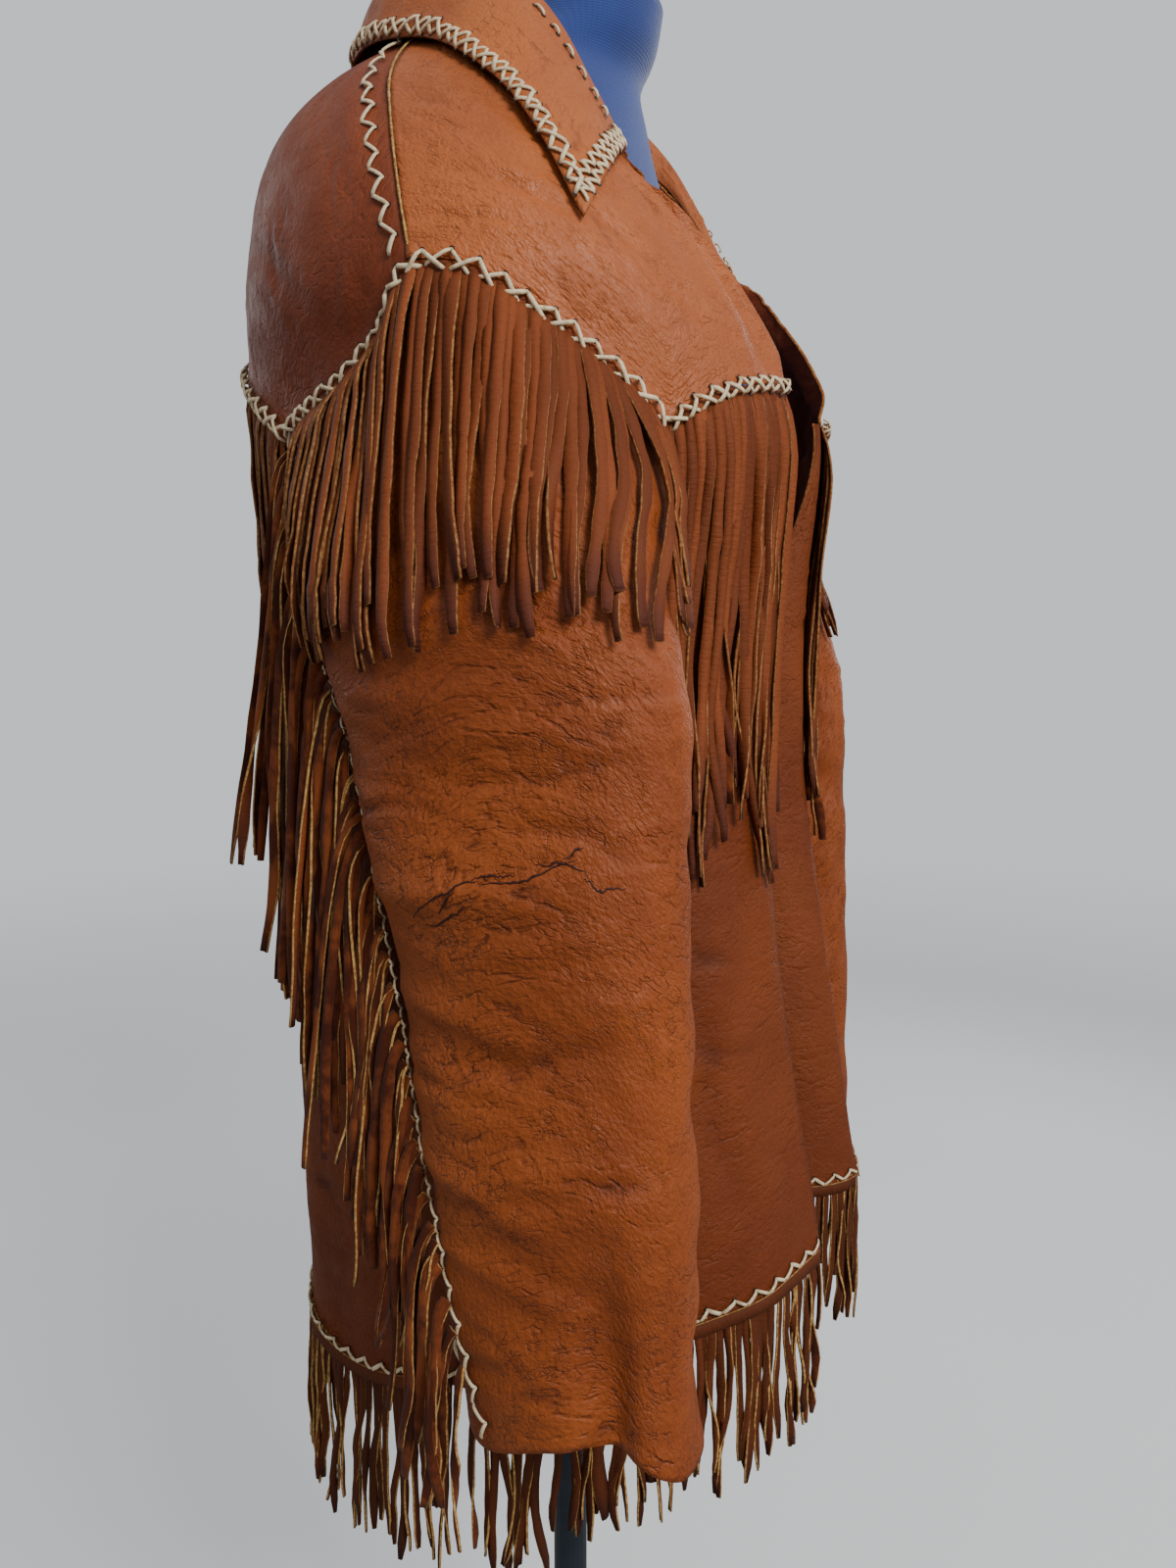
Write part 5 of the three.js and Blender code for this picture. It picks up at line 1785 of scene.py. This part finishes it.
laces = {}
for side, word in ((-1, "right"), (1, "left")):
    base = 300 + 20 * side
    laces[f"yoke_{word}"] = laced(
        f"yoke_{word}",
        [
            lace_row(cap_seam(side, 6.0), 14.0, 4.6, "cross", base + 1, dive=2.6),
            lace_row(yoke_seam(side, CHEST_PATH, 6.0), 12.0, 4.2, "cross", base + 2, dive=2.6),
            lace_row(
                lambda t, side=side: on_body(side, SIDE + mix(5.5, 1.6, t), mix(1384, 1206, t), 2.2),
                11.0,
                3.6,
                "zigzag",
                base + 3,
            ),
        ],
    )
    laces[f"edge_{word}"] = (raw_edge(side, word),)
    arm_path = seam_path(armhole_height, FRONT_CORNER, BACK_CORNER)
    laces[f"sleeve_{word}"] = laced(
        f"sleeve_{word}",
        [
            lace_row(
                lambda t, side=side: on_body(side, arm_path(t), armhole_height(arm_path(t)), 2.2),
                13.0,
                4.4,
                "cross",
                base + 4,
            ),
            lace_row(sleeve_line(side, 1.6), 8.5, 3.2, "zigzag", base + 5),
        ],
    )
    hem_start = float(edge_phi(HEM["z"][0])) + 0.8
    laces[f"front_{word}"] = laced(
        f"front_{word}",
        [
            lace_row(front_hem(side, word, hem_start, 8, 0.9), 9.0, 2.6, "zigzag", base + 6),
            *([lace_row(turned_hem, 9.0, 2.6, "zigzag", base + 8)] if side > 0 else []),
            lace_row(
                lambda t, side=side: on_body(side, SIDE + 0 * t, mix(1000, 562, t), 1.0),
                10.0,
                3.0,
                "zigzag",
                base + 7,
            ),
        ],
    )
laces["back"] = laced(
    "back",
    [
        lace_row(back_seam(6.0), 14.0, 4.6, "cross", 341, dive=2.6),
        lace_row(hem_line(-1, SIDE + 0.5, BACK, 7, 0.8), 9.0, 2.6, "zigzag", 342),
        lace_row(hem_line(1, BACK, SIDE + 0.5, 7, 0.8), 9.0, 2.6, "zigzag", 343),
    ],
)
laces["collar"] = laced(
    "collar",
    [
        lace_row(collar_line(0.948, 1.3, 0.008, 0.992), 11.0, 5.0, "cross", 351),
        lace_row(collar_line(0.42, 1.4, 0.02, 0.32), 8.5, 0.6, "running", 353),
        lace_row(collar_line(0.42, 1.4, 0.98, 0.68), 8.5, 0.6, "running", 354),
        lace_row(collar_end(-1, 0.0075, 1.2), 4.4, 3.2, "zigzag", 355),
        lace_row(collar_end(-1, 0.02, 1.2), 4.4, 3.2, "zigzag", 356),
        lace_row(collar_end(1, 0.0075, 1.2), 4.4, 3.2, "zigzag", 357),
        lace_row(collar_end(1, 0.02, 1.2), 4.4, 3.2, "zigzag", 358),
    ],
)


# ---- cracked grain at the elbows -----------------------------------------------------------------------
ELBOW_CRACKS = table(
    "y0 z0 y1 z1 bow",
    (-28, 868, -74, 886, 3),
    (-70, 884, -118, 897, -3),
    (-36, 865, -66, 874, -2),
    (-60, 885, -88, 888, 2),
    (-98, 893, -124, 889, 2),
    (-122, 888, -141, 887, -1),
    (-112, 897, -121, 903, 1),
    (-46, 871, -57, 881, 1),
)


def elbow_cracks(side, word):
    """Thin dark breaks in the grain, on the sleeve's own creased surface."""
    surface = sleeve_surface(side)
    dice = random.Random(60 + side)
    runs = []
    for y0, z0, y1, z1, bow in zip(*ELBOW_CRACKS.values()):
        s = np.linspace(0, 1, 26)
        jag = np.cumsum([dice.gauss(0, 0.55) for _ in s])
        y = mix(y0, y1, s)
        z = mix(z0, z1, s) + bow * np.sin(np.pi * s) + jag - mix(jag[0], jag[-1], s) + 4 * (side > 0)
        share = sleeve_share(surface, y, z)
        top = surface(share, 0 * share)[..., 2]
        v = np.clip((top - z) / (top - CUFF), 0, 1)
        on = surface(share, v)
        facing = normal_of(surface, share, v, sleeve_inside(side)(on), (0.004, 0.004))
        out, _ = reliefs[f"sleeve_{word}"](share, v, on)
        width = 1.1 * np.sin(np.pi * np.clip(s, 0.06, 0.94)) ** 0.7
        width = width * np.array([dice.uniform(0.6, 1.4) for _ in s])
        middle = on + facing * (out + 0.1)[:, None]
        runs.append({"middle": middle, "facing": facing, "width": width, "cup": 0.0, "shade": 0.0})
    return ribbons(f"cracks_sleeve_{word}", runs, 1, (CRACK, CRACK, CRACK), thickness=0.35)


for side, word in ((-1, "right"), (1, "left")):
    laces[f"cracks_{word}"] = (elbow_cracks(side, word),)


# ---- each hide's fringe and lacing, gathered but not kept -----------------------------------------------
def cut_as(fringes, rows):
    """Gathers a hide's fringe pieces and lacing pieces into a list, which is not kept."""
    going = [pieces[name] for name in fringes]
    for row in rows:
        going += laces[row]


hanging = ["fringe_back_yoke", "fringe_hem_back"]
cut_as(hanging, ["back"])
cut_as([], [])
cut_as([], ["collar"])
for word, width, area in (("right", 206, 0.119), ("left", 252, 0.143)):
    hanging = [f"fringe_chest_{word}", f"fringe_hem_{word}"]
    cut_as(hanging, [f"front_{word}"])
    cut_as([], [f"yoke_{word}", f"edge_{word}"])
    hanging = [f"fringe_cap_{word}", f"fringe_arm_{word}"]
    rows = [f"sleeve_{word}", f"cracks_{word}"]
    cut_as(hanging, rows)


# ---- the form and its stand --------------------------------------------------------------------------
FORM = table(
    "z half front back",
    (762, 138, -104, 104),
    (790, 156, -118, 122),
    (850, 162, -122, 130),
    (930, 150, -106, 116),
    (1030, 126, -92, 104),
    (1110, 142, -118, 124),
    (1170, 158, -138, 142),
    (1225, 172, -112, 152),
    (1275, 182, -78, 150),
    (1305, 172, -62, 142),
    (1335, 138, -54, 126),
    (1360, 104, -50, 106),
    (1382, 74, -48, 76),
    (1400, 58, -60, 46),
    (1428, 55, -66, 38),
)
FORM_END = 0.06  # share of the way up in which the cover turns in at each end


def form_surface(u, v):
    """The cover of the dress form: u goes round and v up, and both ends close in the middle."""
    turn = 2 * np.pi * u
    low = np.clip(v / FORM_END, 0, 1)
    high = np.clip((1 - v) / FORM_END, 0, 1)
    level = np.clip((v - FORM_END) / (1 - 2 * FORM_END), 0, 1)
    z = mix(FORM["z"][0] + 8, FORM["z"][-1] - 3, level)
    z = z - 8 * (1 - np.sin(low * np.pi / 2) ** 2) + 3 * (1 - np.sin(high * np.pi / 2) ** 2)
    shrink = np.sin(low * np.pi / 2) ** 0.8 * np.sin(high * np.pi / 2) ** 0.8
    half, front, back = (curve(FORM, "z", name, z) for name in ("half", "front", "back"))
    x = half * np.sin(turn) * shrink
    y = (front + back) / 2 - (back - front) / 2 * np.cos(turn) * shrink
    return np.stack([x, y, z], -1)


def form_cover():
    """The knitted cover, on the same rings as its solid."""
    bm = bmesh.new()
    bmesh.ops.create_grid(bm, x_segments=96, y_segments=120, size=0.5)
    for vert in bm.verts:
        place = form_surface(np.array(vert.co.x + 0.5), np.array(vert.co.y + 0.5))
        vert.co = Vector(place) * MM
    bmesh.ops.remove_doubles(bm, verts=bm.verts, dist=0.00001)
    bmesh.ops.recalc_face_normals(bm, faces=bm.faces)
    mesh = bpy.data.meshes.new("form_jersey_cover")
    bm.to_mesh(mesh)
    bm.free()
    mesh.shade_smooth()
    mesh.materials.append(JERSEY)
    return finish_piece(bpy.data.objects.new("form_jersey_cover", mesh), ["form_torso"])


form_cover()
for node, material in (("form_neck_cap", CAP_PLASTIC), ("stand_pole", STEEL), ("stand_base", STEEL)):
    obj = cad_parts[node]
    obj.data.materials.clear()
    obj.data.materials.append(material)


# ---- floor, light and camera ---------------------------------------------------------------------------
def backdrop():
    material, tree, shader = fresh_material("pale_floor")
    cloud = ramp(tree, cloudy(tree, object_place(tree), 0.8, 2.0), 0.2, 0.8)
    tone = tint(tree, cloud, (0.74, 0.75, 0.76, 1), (0.8, 0.81, 0.82, 1))
    seen = tree.nodes.new("ShaderNodeLightPath").outputs["Is Camera Ray"]
    length = tree.nodes.new("ShaderNodeVectorMath")
    length.operation = "LENGTH"
    tree.links.new(object_place(tree), length.inputs[0])
    far = maths(tree, "MULTIPLY", ramp(tree, length.outputs["Value"], 0.8, 5.0), seen)
    dim = tint(tree, seen, (0.3, 0.29, 0.28, 1), tone)  # it throws less light up than it shows
    tree.links.new(tint(tree, far, dim, (0, 0, 0, 1)), shader.inputs["Base Color"])
    shader.inputs["Emission Color"].default_value = (0.7, 0.73, 0.76, 1)
    tree.links.new(far, shader.inputs["Emission Strength"])
    shader.inputs["Roughness"].default_value = 0.85
    shader.inputs["Specular IOR Level"].default_value = 0.2
    bm = bmesh.new()
    bmesh.ops.create_grid(bm, x_segments=1, y_segments=1, size=30)
    mesh = bpy.data.meshes.new("floor")
    bm.to_mesh(mesh)
    bm.free()
    mesh.materials.append(material)
    floor = bpy.data.objects.new("floor", mesh)
    bpy.context.scene.collection.objects.link(floor)


def soft_light(name, place, aim, size, power, tone=(1, 1, 1)):
    data = bpy.data.lights.new(name, "AREA")
    data.size = size
    data.energy = power
    data.color = tone
    obj = bpy.data.objects.new(name, data)
    obj.location = place
    obj.rotation_euler = (Vector(aim) - Vector(place)).to_track_quat("-Z", "Y").to_euler()
    bpy.context.scene.collection.objects.link(obj)


def studio():
    world = bpy.data.worlds.new("studio")
    world.use_nodes = True
    sky = world.node_tree.nodes["Background"]
    sky.inputs["Color"].default_value = (0.76, 0.79, 0.82, 1)
    path = world.node_tree.nodes.new("ShaderNodeLightPath")
    seen = world.node_tree.nodes.new("ShaderNodeMath")
    seen.operation = "MULTIPLY_ADD"
    seen.inputs[1].default_value = 0.3
    seen.inputs[2].default_value = 0.66
    world.node_tree.links.new(path.outputs["Is Camera Ray"], seen.inputs[0])
    world.node_tree.links.new(seen.outputs[0], sky.inputs["Strength"])
    bpy.context.scene.world = world
    chest = (0, 0, 0.95)
    soft_light("key", (-1.35, -1.75, 2.3), chest, 0.9, 56, (1, 0.97, 0.93))
    soft_light("front", (0.2, -2.5, 1.5), chest, 1.2, 9)
    soft_light("back", (0.6, 2.2, 1.9), chest, 1.2, 9, (0.94, 0.97, 1))
    soft_light("left", (2.2, -0.4, 1.6), chest, 1.2, 14)


def aim_camera():
    data = bpy.data.cameras.new("camera")
    data.lens = 27
    data.sensor_width = 36
    data.clip_start = 0.02
    camera = bpy.data.objects.new("camera", data)
    azimuth, elevation, distance = math.radians(-69), math.radians(7), 0.86
    aim = Vector((0, -0.015, 0.9))
    away = Vector(
        (
            math.sin(azimuth) * math.cos(elevation),
            -math.cos(azimuth) * math.cos(elevation),
            math.sin(elevation),
        )
    )
    camera.location = aim + away * distance
    camera.rotation_euler = (-away).to_track_quat("-Z", "Y").to_euler()
    bpy.context.scene.collection.objects.link(camera)
    bpy.context.scene.camera = camera


backdrop()
studio()
aim_camera()
